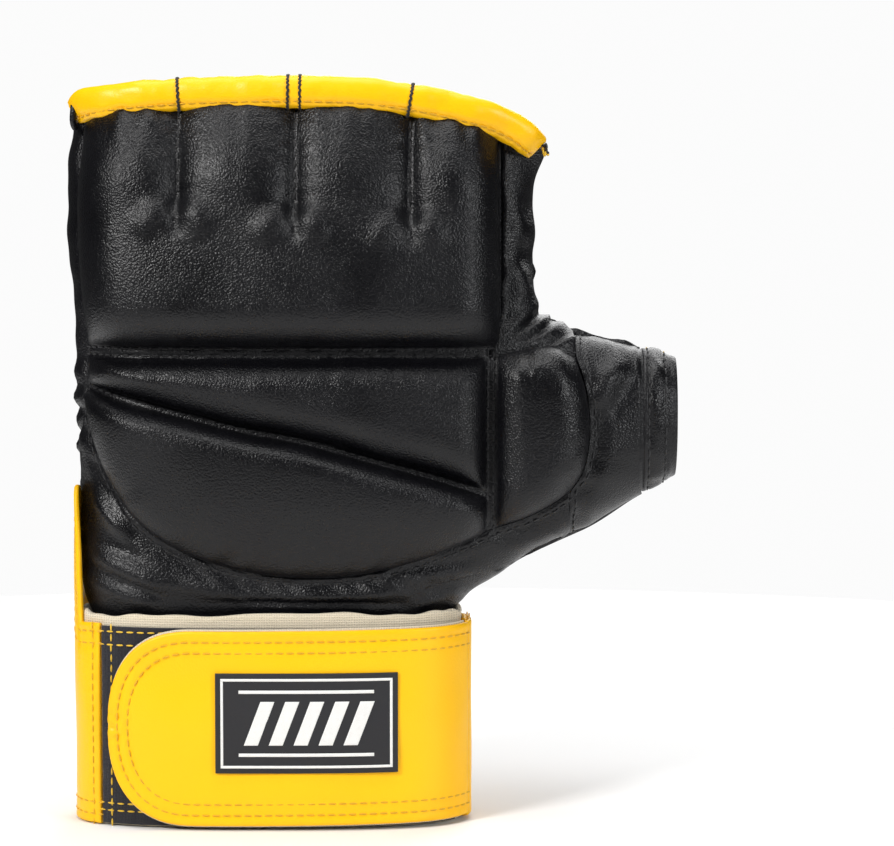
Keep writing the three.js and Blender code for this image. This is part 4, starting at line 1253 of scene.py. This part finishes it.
class GLOVE_OT_binding(bpy.types.Operator):
    """Make the rolled edge binding, the tacks across it, and the tab and loose threads at its ends"""

    bl_idname = "glove.binding"
    bl_label = "Edge Binding"

    def execute(self, context):
        angles = np.linspace(0, 2 * math.pi, 41)[:-1]
        t = spread(BINDING_LINE.length, 1.5)
        t[0], t[-1] = 0.0, 1.0
        points = binding_ring(t, angles)
        centre = points.mean(1, keepdims=True)
        points[0] = centre[0] + (points[0] - centre[0]) * 0.12
        points[-1] = centre[-1] + (points[-1] - centre[-1]) * 0.12
        skin = Skin(points, unit(points - centre), ring=True)
        stitch_angle = math.radians(-32)
        away = np.abs((angles - stitch_angle + math.pi) % (2 * math.pi) - math.pi)[None, :]
        wave = 0.22 * ripples(points, 112, 12) + 0.1 * ripples(points, 113, 4)
        crinkle = np.sin(skin.x * 2 * math.pi / 3.1) * 0.12 * np.exp(-(away / 0.35) ** 2)
        height = wave - 0.35 * np.exp(-(away / 0.12) ** 2) + crinkle
        height = height * np.minimum(1, np.minimum(skin.bottom, skin.top) / 4)
        outer = points + skin.normal * height[..., None]
        inner = centre + (points - centre) * 0.7
        # Only the stitch line counts as near a seam, so the seam tone paints shade into its groove.
        seam = np.where(away < 0.16, 0.6, 12.0) * np.ones(points.shape[:2])
        piece = closed_sheet("edge_binding_roll", outer, inner, finish("Yellow Leather"), ring=True,
                             seam=seam)
        settle(piece, "fingers", "yellow_leather", "edge_binding")
        sew("fingers", "Ochre Thread", binding_ring(t[3:-3], np.array([stitch_angle]))[:, 0])
        tacks = 0
        for at, _ in DARTS:
            share = float(np.interp(at, BINDING_LINE.line[:, 0], BINDING_LINE.arc) / BINDING_LINE.length)
            near = np.array([share - 0.004, share, share + 0.004])
            turn = np.radians(np.linspace(-88, 150, 40))
            for shift in ((-2.0, 1.6) if at == DARTS[1][0] else (0.0,)):
                loop = binding_ring(near, turn, 0.3)[1]
                loop[:, 0] += shift + 0.22 * np.sin(np.arange(len(turn)) * 2.2)
                tacks += 1
                tack = tube("dart_tack_%d" % tacks, loop, TACK_RADIUS, finish("Black Thread"), 6)
                settle(tack, "fingers", "black_leather")
        start = binding_ring(np.array([0.0, 0.01, 0.02]), angles)[0].mean(0)
        turn = np.linspace(0, 2 * math.pi, 20)
        tab = [start + np.array([0.6 + 0.15 * np.sin(3 * a), 3.6 * np.cos(a), 4.4 * np.sin(a)])
               for a in turn[:-1]]
        knot = tube("binding_tab", np.array(tab + [tab[0]]), 1.0, finish("Black Leather"), 10)
        settle(knot, "fingers", "black_leather")
        end = binding_ring(np.array([0.98, 0.99, 1.0]), angles)[-1].mean(0)
        threads = (("Contrast Thread", "yellow_leather"), ("Black Thread", "black_leather"))
        a = np.linspace(0, 2 * math.pi * 2.5, 60)
        for k, (colour, slot) in enumerate(threads):
            coil = end + np.stack([1.6 + 0.7 * a / 8 + 0.3 * np.sin(a * 1.7), 2.6 * np.cos(a + k),
                                   1.2 * np.sin(a * 1.1) + 0.5 * k + 0.5 * np.cos(2.3 * a)], -1)
            settle(tube("thread_knot_%d" % (k + 1), coil, KNOT_RADIUS, finish(colour), 6), "fingers", slot)
        return {"FINISHED"}


LINING_TURN = 36  # degrees round the side at which the linings stop


class GLOVE_OT_linings(bpy.types.Operator):
    """Make the linings under the knuckles and under the back of the hand"""

    bl_idname = "glove.linings"
    bl_label = "Linings"

    def execute(self, context):
        for name, node, holder, low, high, right_x in (
                ("lining_knuckles", "finger_lining", "fingers", 145.0, 215.0, 43.0),
                ("lining_hand", "hand_lining", "hand", 84.0, 142.0, 50.0)):
            t = LITTLE_SIDE.where(1, np.linspace(low, min(high, 212), 20))
            left = Outline(side_plan(LITTLE_SIDE, t, LINING_TURN), bent=False)
            if name == "lining_knuckles":
                top = Outline([left(1.0), (-57, high), (-20, high + 1.5), (15, high), (right_x, high - 6)])
            else:
                top = Outline([left(1.0), (right_x, high)])
            right = Outline([(right_x, low), top(1.0)])
            skin = face_skin(BACK, Outline([left(0.0), (right_x, low)]), top, left, right, 3.0)
            skin.normal = -skin.normal
            skin.direction = skin.normal
            height = 0.9 + 0.5 * ripples(skin.points, 121, 22) * smooth(skin.seam(), 1, 8)
            piece = panel(name, skin, height, finish("Black Lining"), inner=0.1)
            settle(piece, holder, "black_fabric", node)
        return {"FINISHED"}


# ---- Cuff and strap ---------------------------------------------------------------------------------------

CUFF_LOW, CUFF_HIGH = cad_box("cuff_lining")
LINING_THICK = 1.8
CUFF_CENTRE_X = (CUFF_LOW[0] + CUFF_HIGH[0]) / 2
CUFF_HALF_WIDTH = (CUFF_HIGH[0] - CUFF_LOW[0]) / 2 - LINING_THICK
CUFF_HALF_DEPTH = (CUFF_HIGH[1] - CUFF_LOW[1]) / 2 - LINING_THICK
CUFF_POWER = 2 / 2.8
CUFF_TOP = 61.0
BAND_OFFSET = 2.1
STRAP_OFFSET = 5.25
BACKING_OFFSET = 4.2
LABEL_OFFSET = 6.75
STRAP_LOW, STRAP_HIGH = 0.8, 60.6
STRAP_TIP_DEG, STRAP_ROOT_DEG, ROOT_END_DEG = -49.5, 79.0, 104.0
STRAP_ROWS = (3.3, 6.6)  # stitch rows from the strap's long edges
STRAP_END_LENGTH, STRAP_END_POWER = 27.0, 2 / 2.35  # the rounded end's reach and how square it is
STRAP_SKEW = 1.0
STRAP_HUG = 1.2  # how far the strap lies closer to the cuff before its root
ROOT_START_DEG = 78.4
ROOT_ROWS = (("right", 2.2), ("right", 5.0))
PALM_SEAM_DEG = 196.0
TAB_DEG, TAB_HALF_DEG, TAB_RISE = 270.0, 16.0, 41.0


def cuff_place(degrees, z, offset):
    """Points round the cuff at a distance outside its inner face. Degrees run from the back to the thumb."""
    shape = np.broadcast(degrees, z).shape
    places = []
    for shift in (-0.4, 0.4, 0.0):
        angle = np.radians(degrees + shift) + np.zeros(shape)
        across = np.sign(np.sin(angle)) * np.abs(np.sin(angle)) ** CUFF_POWER
        back = np.sign(np.cos(angle)) * np.abs(np.cos(angle)) ** CUFF_POWER
        places.append(np.stack([CUFF_CENTRE_X + CUFF_HALF_WIDTH * across, -CUFF_HALF_DEPTH * back,
                                z + np.zeros(shape)], -1))
    along = unit(places[1] - places[0])
    outward = np.stack([-along[..., 1], along[..., 0], np.zeros(shape)], -1)
    return places[2] - outward * np.asarray(offset)[..., None]


CUFF_TABLE_DEG = np.linspace(-90, 120, 1400)
CUFF_TABLE_PLACES = cuff_place(CUFF_TABLE_DEG, 0.0, np.full(len(CUFF_TABLE_DEG), STRAP_OFFSET))
CUFF_TABLE = np.concatenate([[0], np.cumsum(np.linalg.norm(np.diff(CUFF_TABLE_PLACES, axis=0), axis=1))])


def strap_arc(degrees):
    """How far along the strap a place round the cuff is."""
    return np.interp(degrees, CUFF_TABLE_DEG, CUFF_TABLE)


def strap_degrees(arc):
    return np.interp(arc, CUFF_TABLE, CUFF_TABLE_DEG)


def cuff_skin(degrees, z, offset, ring=False):
    points = cuff_place(degrees, z, offset + np.zeros(np.broadcast(degrees, z).shape))
    away = points - np.array([CUFF_CENTRE_X, 0, 0])
    return Skin(points, away * (1, 1, 0), ring=ring)


def cuff_layer(name, skin, thick, material, edge=0.8, rows=(), wave=0.15, seed=1):
    """A flat layer on the cuff with rounded edges, dented along its stitch rows."""
    height = 0.55 * thick + 0.45 * thick * rise(skin.seam(), edge)
    for side, offset in rows:
        height = height + stitch_dip(getattr(skin, side), offset, 0.32, 0.7)
    height = height + wave * ripples(skin.points, seed, 26) * smooth(skin.seam(), 0.5, 6)
    return panel(name, skin, height, material)


class GLOVE_OT_cuff(bpy.types.Operator):
    """Make the cuff: its lining with a raw rim, the band and the loop patch"""

    bl_idname = "glove.cuff"
    bl_label = "Cuff"

    def execute(self, context):
        degrees = np.linspace(0, 360, 241)[:-1][None, :]
        circle = np.radians(degrees)
        rim = 64.3 + 0.5 * np.sin(3 * circle + 1) + 0.35 * np.sin(8 * circle) + 0.25 * np.sin(19 * circle + 2)
        rim = rim + 1.0 * bump((degrees + 180) % 360 - 180, 70, 14)
        v = spread(64, 3.0)[:, None]
        lining = cuff_skin(degrees, rim * v, 0.1, ring=True)
        frayed = 0.25 * ripples(lining.points, 131, 2.2) * np.exp(-lining.top / 1.2)
        height = 1.0 + 0.8 * rise(lining.seam(), 0.9) + frayed
        piece = panel("cuff_lining_cloth", lining, height, finish("Cream Backing"))
        settle(piece, "cuff", "cream_backing", "cuff_lining")

        degrees = 84 + (360 - 56.2 - 84) * spread(260, 1.9)[None, :]
        inside = np.clip(1 - ((degrees - TAB_DEG) / TAB_HALF_DEG) ** 2, 0, 1)
        high = CUFF_TOP + TAB_RISE * np.sqrt(inside) + 0.35 * np.sin(np.radians(degrees) * 5)
        band = cuff_skin(degrees, 0.2 + (high - 0.2) * spread(61, 1.8)[:, None], BAND_OFFSET)
        rows = (("top", 2.6), ("top", 6.2), ("bottom", 2.8), ("bottom", 6.4), ("right", 2.4))
        piece = cuff_layer("cuff_band_leather", band, 1.5, finish("Yellow Leather"), rows=rows, wave=0.28,
                           seed=132)
        settle(piece, "cuff", "yellow_leather", "cuff_band")
        sew("cuff", "Ochre Thread", *(band.row(side, offset, 0.01, 0.99, 0.05) for side, offset in rows[:4]),
            band.row("right", 2.4, 0.05, 0.95, 0.05))
        upright = [cuff_place(np.array([PALM_SEAM_DEG]), z, np.array([BAND_OFFSET + 1.6]))
                   for z in np.linspace(7, 54, 30)]
        sew("cuff", "Ochre Thread", np.array(upright)[:, 0])

        degrees = -55 + (70 + 55) * spread(130, 2.0)[None, :]
        patch_skin = cuff_skin(degrees, 0.6 + 60.0 * spread(60, 2.0)[:, None], BAND_OFFSET)
        height = 0.7 + 0.4 * rise(patch_skin.seam(), 0.6) + 0.12 * ripples(patch_skin.points, 135, 1.6)
        piece = panel("loop_patch_pile", patch_skin, height, finish("Loop Pile"))
        settle(piece, "cuff", "black_fabric", "loop_patch")
        sew("cuff", "Contrast Thread", patch_skin.row("top", 1.6, 0, 0.3), patch_skin.row("top", 5.6, 0, 0.3),
            patch_skin.row("bottom", 4.0, 0, 0.3), patch_skin.row("bottom", 6.2, 0, 0.3),
            patch_skin.row("left", 3.4, 0.05, 0.95))
        return {"FINISHED"}


def strap_grid(margin, offset, start_deg=STRAP_ROOT_DEG):
    """The strap's outline as a grid on the cuff, its rounded end inside by margin."""
    tip = strap_arc(STRAP_TIP_DEG) + margin
    reach, half = STRAP_END_LENGTH - margin, (STRAP_HIGH - STRAP_LOW) / 2 - margin
    turn = np.radians(np.linspace(3.5, 90, 34))
    round_arc = tip + reach * (1 - np.cos(turn) ** STRAP_END_POWER)
    round_half = half * np.sin(turn) ** STRAP_END_POWER
    straight = np.linspace(tip + reach, strap_arc(start_deg), 74)[1:]
    arc = np.concatenate([round_arc, straight])
    halves = np.concatenate([round_half, np.full(len(straight), half)])
    v = spread(60, 1.7)[:, None] * 2 - 1
    middle = (STRAP_HIGH + STRAP_LOW) / 2
    skew = STRAP_SKEW * smooth(arc, strap_arc(-10), strap_arc(60))
    degrees = strap_degrees(arc)
    hug = STRAP_HUG * smooth(degrees, 45, 74)
    return cuff_skin(degrees[None, :] + 0 * v, middle + skew * 0.5 + halves * v,
                     offset - hug[None, :] + 0 * v)


class GLOVE_OT_strap(bpy.types.Operator):
    """Make the closure strap, its backing, its hook patch and the root that joins it to the cuff"""

    bl_idname = "glove.strap"
    bl_label = "Strap"

    def execute(self, context):
        rows = [(side, offset) for side in ("top", "bottom") for offset in STRAP_ROWS]
        strap = strap_grid(0.5, STRAP_OFFSET)
        piece = cuff_layer("strap_cover", strap, 1.35, finish("Yellow Leather"), edge=1.0, rows=rows,
                           wave=0.22, seed=141)
        settle(piece, "peel", "yellow_leather", "strap_leather", "strap_end_leather")
        for margin in (3.8, 7.1):
            line = strap_grid(margin, STRAP_OFFSET + 1.25).points
            sew("peel", "Ochre Thread", np.vstack([line[-1, -2::-1], line[0, :-1]]))
        backing = strap_grid(0.0, BACKING_OFFSET)
        piece = cuff_layer("strap_lining", backing, 1.0, finish("Cream Backing"), edge=0.4, wave=0.0)
        settle(piece, "peel", "cream_backing", "strap_backing", "strap_end_backing")
        hook = strap_grid(5.5, BAND_OFFSET + 1.25, -17.0)
        height = 0.6 + 0.12 * ripples(hook.points, 143, 1.5)
        piece = panel("hook_patch_pile", hook, height, finish("Loop Pile"))
        settle(piece, "strap_end", "black_fabric", "hook_patch")

        degrees = ROOT_START_DEG + (ROOT_END_DEG - ROOT_START_DEG) * spread(24, 1.2)[None, :]
        z = STRAP_LOW + 0.3 + (STRAP_HIGH - STRAP_LOW) * spread(60, 2.0)[:, None]
        offset = BAND_OFFSET + 1.4 + (STRAP_OFFSET - BAND_OFFSET - 2.8) * (1 - smooth(degrees, 82, 96))
        points = cuff_place(degrees + 0 * z, z + 0 * degrees, offset + 0 * z)
        root = Skin(points, (1, 0, 0))
        piece = cuff_layer("strap_root", root, 1.3, finish("Yellow Leather"), rows=ROOT_ROWS, wave=0.15,
                           seed=145)
        settle(piece, "root", "yellow_leather")
        sew("root", "Ochre Thread", *(root.row(side, offset, 0.04, 0.96, 0.05) for side, offset in ROOT_ROWS))
        return {"FINISHED"}


LABEL_X = (-45.9, 8.2)
LABEL_Z = (17.5, 47.7)
LABEL_FRAME = (1.6, 0.8)  # the woven frame's distance from the label's edge, and its width


def label_skin(start, end, low, high, offset, slant=0.0):
    """A small four-sided area of the label. start and end are X places, slant shears its upper edge."""
    v = spread(high - low, 1.5)[:, None]
    x = start + (end - start) * spread(end - start, 1.5)[None, :] + slant * v
    degrees = np.interp(x, CUFF_TABLE_PLACES[:, 0], CUFF_TABLE_DEG)
    return cuff_skin(degrees, low + (high - low) * v + 0 * x, offset)


class GLOVE_OT_label(bpy.types.Operator):
    """Make the woven label: a plain frame round slanted bars"""

    bl_idname = "glove.label"
    bl_label = "Label"

    def execute(self, context):
        (x0, x1), (z0, z1) = LABEL_X, LABEL_Z
        base = label_skin(x0, x1, z0, z1, LABEL_OFFSET)
        piece = cuff_layer("label_cloth", base, 0.7, finish("Label Cloth"), edge=0.4, wave=0.05, seed=151)
        settle(piece, "strap", "label", "label_patch")
        inset, width = LABEL_FRAME
        a, b, c, d = x0 + inset, x1 - inset, z0 + inset, z1 - inset
        areas = [(a, b, c, c + width, 0), (a, b, d - width, d, 0), (a, a + width, c + width, d - width, 0),
                 (b - width, b, c + width, d - width, 0)]
        areas += [(x, x + 4.2, z0 + 8.5, z1 - 8.5, 5.0) for x in np.arange(x0 + 8.5, x1 - 15, 7.4)]
        areas += [(x0 + 7, x1 - 7, z0 + 5.1, z0 + 6.1, 0), (x0 + 7, x1 - 7, z1 - 6.1, z1 - 5.1, 0)]
        for k, (a, b, c, d, slant) in enumerate(areas):
            skin = label_skin(a, b, c, d, LABEL_OFFSET + 0.62, slant)
            piece = panel("label_stripe_%02d" % (k + 1), skin, 0.12 + 0.16 * rise(skin.seam(), 0.3),
                          finish("Label Thread"), inner=-0.2)
            settle(piece, "strap", "label")
        return {"FINISHED"}


# ---- Stitching --------------------------------------------------------------------------------------------

def stitch_tree():
    """A Geometry Nodes tree that lays stitches along curves, end to end with small gaps."""
    name = "Stitch Row"
    if name in bpy.data.node_groups:
        return bpy.data.node_groups[name]
    tree = bpy.data.node_groups.new(name, "GeometryNodeTree")
    tree.is_modifier = True
    tree.interface.new_socket("Geometry", in_out="INPUT", socket_type="NodeSocketGeometry")
    for label in ("Pitch", "Stitch Length", "Thread Radius"):
        tree.interface.new_socket(label, in_out="INPUT", socket_type="NodeSocketFloat")
    tree.interface.new_socket("Material", in_out="INPUT", socket_type="NodeSocketMaterial")
    tree.interface.new_socket("Geometry", in_out="OUTPUT", socket_type="NodeSocketGeometry")
    nodes = Nodes(tree)
    given = nodes.add("NodeGroupInput").outputs
    spaced = nodes.add("GeometryNodeResampleCurve", {"Curve": given["Geometry"], "Length": given["Pitch"]},
                       mode="LENGTH")
    turned = nodes.add("FunctionNodeAlignRotationToVector",
                       {"Vector": nodes.add("GeometryNodeInputTangent").outputs[0]}, axis="X")
    half = nodes.add("ShaderNodeMath", {0: given["Stitch Length"], 1: 0.5}, operation="MULTIPLY").outputs[0]
    scale = nodes.add("ShaderNodeCombineXYZ", {"X": half, "Y": given["Thread Radius"],
                                               "Z": given["Thread Radius"]})
    bead = nodes.add("GeometryNodeMeshUVSphere", {"Segments": 6, "Rings": 5, "Radius": 1.0})
    tilted = nodes.add("GeometryNodeTransform", {"Geometry": bead.outputs[0],
                                                 "Rotation": (0, math.pi / 2, 0)})
    laid = nodes.add("GeometryNodeInstanceOnPoints",
                     {"Points": spaced.outputs[0], "Instance": tilted.outputs[0],
                      "Rotation": turned.outputs[0], "Scale": scale.outputs[0]})
    real = nodes.add("GeometryNodeRealizeInstances", {"Geometry": laid.outputs[0]})
    soft = nodes.add("GeometryNodeSetShadeSmooth", {"Geometry": real.outputs[0]})
    coloured = nodes.add("GeometryNodeSetMaterial", {"Geometry": soft.outputs[0],
                                                     "Material": given["Material"]})
    nodes.add("NodeGroupOutput", {"Geometry": coloured.outputs[0]})
    return tree


class GLOVE_OT_stitching(bpy.types.Operator):
    """Lay the stitches along every row that the panels ask for"""

    bl_idname = "glove.stitching"
    bl_label = "Stitching"

    def execute(self, context):
        given = sizes()
        tree = stitch_tree()
        sockets = {item.name: item.identifier for item in tree.interface.items_tree if item.in_out == "INPUT"}
        for (holder, thread), lines in sorted(stitch_rows.items()):
            curve = bpy.data.curves.new("stitch path", "CURVE")
            curve.dimensions = "3D"
            for line in lines:
                spline = curve.splines.new("POLY")
                spline.points.add(len(line) - 1)
                spline.points.foreach_set("co", np.hstack([line * MM, np.ones((len(line), 1))]).ravel())
            path = bpy.data.objects.new("stitch path", curve)
            context.scene.collection.objects.link(path)
            modifier = path.modifiers.new("Stitches", "NODES")
            modifier.node_group = tree
            modifier[sockets["Pitch"]] = given["stitch_pitch"] * MM
            modifier[sockets["Stitch Length"]] = given["stitch_length"] * MM
            modifier[sockets["Thread Radius"]] = given["thread_radius"] * MM
            modifier[sockets["Material"]] = finish(thread)
            graph = context.evaluated_depsgraph_get()
            mesh = bpy.data.meshes.new_from_object(path.evaluated_get(graph), depsgraph=graph)
            bpy.data.objects.remove(path)
            bpy.data.curves.remove(curve)
            name = "stitches_%s_%s" % (holder, thread.split()[0].lower())
            mesh.name = name
            piece = bpy.data.objects.new(name, mesh)
            context.scene.collection.objects.link(piece)
            settle(piece, holder, "black_leather" if thread == "Black Thread" else "yellow_leather")
        return {"FINISHED"}


# ---- Stage ------------------------------------------------------------------------------------------------

FRAME_WIDTH = 0.2725  # width of the view at the glove
CAMERA_PLACE = (0.023, -1.02, 0.200)
CAMERA_AIM = (0.0233, 0.0, 0.1205)
FLOOR_RADIUS, FLOOR_Z = 0.55, -0.0002
FLOOR_SIDES = 96
LIGHT_AIM = (-0.01, 0, 0.11)
SENSOR_WIDTH = 36.0
# How strongly the pale walls light the glove, and how bright they look to the camera.
STUDIO_LIGHT, STUDIO_WALL = 0.05, 0.97
LIGHTS = (  # name, place, size, power, colour
    ("Key Light", (-0.75, -0.85, 0.75), 0.32, 13.5, (1.0, 0.99, 0.98)),
    ("Fill Light", (1.00, -0.75, 0.45), 0.34, 6.5, (0.98, 0.99, 1.0)),
    ("Top Light", (0.0, -0.1, 1.3), 1.0, 14.0, (1.0, 1.0, 1.0)),
    ("Rear Light", (0.3, 1.1, 0.8), 0.9, 9.0, (1.0, 1.0, 1.0)),
)


def aim(thing, target):
    way = np.array(target, float) - np.array(thing.location, float)
    thing.rotation_euler = (math.atan2(math.hypot(way[0], way[1]), -way[2]), 0, math.atan2(-way[0], way[1]))


class GLOVE_OT_stage(bpy.types.Operator):
    """Set out the floor, the lights and the camera"""

    bl_idname = "glove.stage"
    bl_label = "Stage"

    def execute(self, context):
        scene = context.scene
        turn = np.linspace(0, 2 * math.pi, FLOOR_SIDES + 1)[:-1]
        rim = np.stack([FLOOR_RADIUS * np.cos(turn), FLOOR_RADIUS * np.sin(turn),
                        np.full(FLOOR_SIDES, FLOOR_Z)], -1)
        mesh = bpy.data.meshes.new("floor")
        mesh.from_pydata(rim.tolist(), [], [list(range(FLOOR_SIDES))])
        material, nodes, shader, where = new_material("Pale Floor")
        mottle = nodes.add("ShaderNodeTexNoise", {"Vector": where, "Scale": 3.0, "Detail": 2.0})
        colour = scene.glove_colours.floor
        nodes.tree.links.new(nodes.mix(mottle.outputs["Fac"], tint(colour, 0.99), tint(colour, 1.01)),
                             shader.inputs["Base Color"])
        shader.inputs["Roughness"].default_value = 0.7
        mesh.materials.append(material)
        floor = bpy.data.objects.new("floor", mesh)
        scene.collection.objects.link(floor)
        for name, place, size, power, colour in LIGHTS:
            light = bpy.data.lights.new(name, "AREA")
            light.size, light.energy, light.color = size, power, colour
            lamp = bpy.data.objects.new(name, light)
            lamp.location = place
            aim(lamp, LIGHT_AIM)
            scene.collection.objects.link(lamp)
        scene.view_settings.view_transform = "Standard"
        world = bpy.data.worlds.new("Studio")
        world.use_nodes = True
        background = world.node_tree.nodes["Background"]
        background.inputs["Color"].default_value = (1, 1, 1, 1)
        seen = Nodes(world.node_tree)
        straight = seen.add("ShaderNodeLightPath").outputs["Is Camera Ray"]
        strength = seen.remap(straight, 0.0, 1.0, STUDIO_LIGHT, STUDIO_WALL)
        world.node_tree.links.new(strength, background.inputs["Strength"])
        scene.world = world
        lens = bpy.data.cameras.new("Camera")
        camera = bpy.data.objects.new("Camera", lens)
        camera.location = CAMERA_PLACE
        aim(camera, CAMERA_AIM)
        away = math.dist(CAMERA_PLACE, CAMERA_AIM)
        lens.sensor_width = SENSOR_WIDTH
        lens.lens = SENSOR_WIDTH * away / FRAME_WIDTH
        lens.clip_start, lens.clip_end = 0.01, 20.0
        scene.collection.objects.link(camera)
        scene.camera = camera
        return {"FINISHED"}


# ---- Panel and registering --------------------------------------------------------------------------------

OPERATORS = (
    GLOVE_OT_knuckle_pad, GLOVE_OT_back_pads, GLOVE_OT_thumb_pad, GLOVE_OT_thumb, GLOVE_OT_gussets,
    GLOVE_OT_wrist, GLOVE_OT_palm, GLOVE_OT_dividers, GLOVE_OT_binding, GLOVE_OT_linings, GLOVE_OT_cuff,
    GLOVE_OT_strap, GLOVE_OT_label, GLOVE_OT_stitching, GLOVE_OT_stage,
)


class GLOVE_PT_pieces(bpy.types.Panel):
    """Sizes, colours and pieces of the glove"""

    bl_idname = "GLOVE_PT_pieces"
    bl_label = "Training Glove"
    bl_space_type = "VIEW_3D"
    bl_region_type = "UI"
    bl_category = "Glove"

    def draw(self, context):
        layout = self.layout
        for group in (context.scene.glove_sizes, context.scene.glove_colours):
            column = layout.column(align=True)
            for key in group.__annotations__:
                column.prop(group, key)
        column = layout.column(align=True)
        for operator in OPERATORS:
            column.operator(operator.bl_idname)


CLASSES = (GloveSizes, GloveColours) + OPERATORS + (GLOVE_PT_pieces,)


def register():
    for each in CLASSES:
        bpy.utils.register_class(each)
    bpy.types.Scene.glove_sizes = bpy.props.PointerProperty(type=GloveSizes)
    bpy.types.Scene.glove_colours = bpy.props.PointerProperty(type=GloveColours)


def unregister():
    del bpy.types.Scene.glove_sizes
    del bpy.types.Scene.glove_colours
    for each in reversed(CLASSES):
        bpy.utils.unregister_class(each)


def main():
    """Makes every piece in order."""
    register()
    for operator in OPERATORS:
        group, name = operator.bl_idname.split(".")
        if getattr(getattr(bpy.ops, group), name)() != {"FINISHED"}:
            raise RuntimeError(operator.bl_label + " wasn't made")
    bpy.context.view_layer.update()


if __name__ == "__main__":
    main()
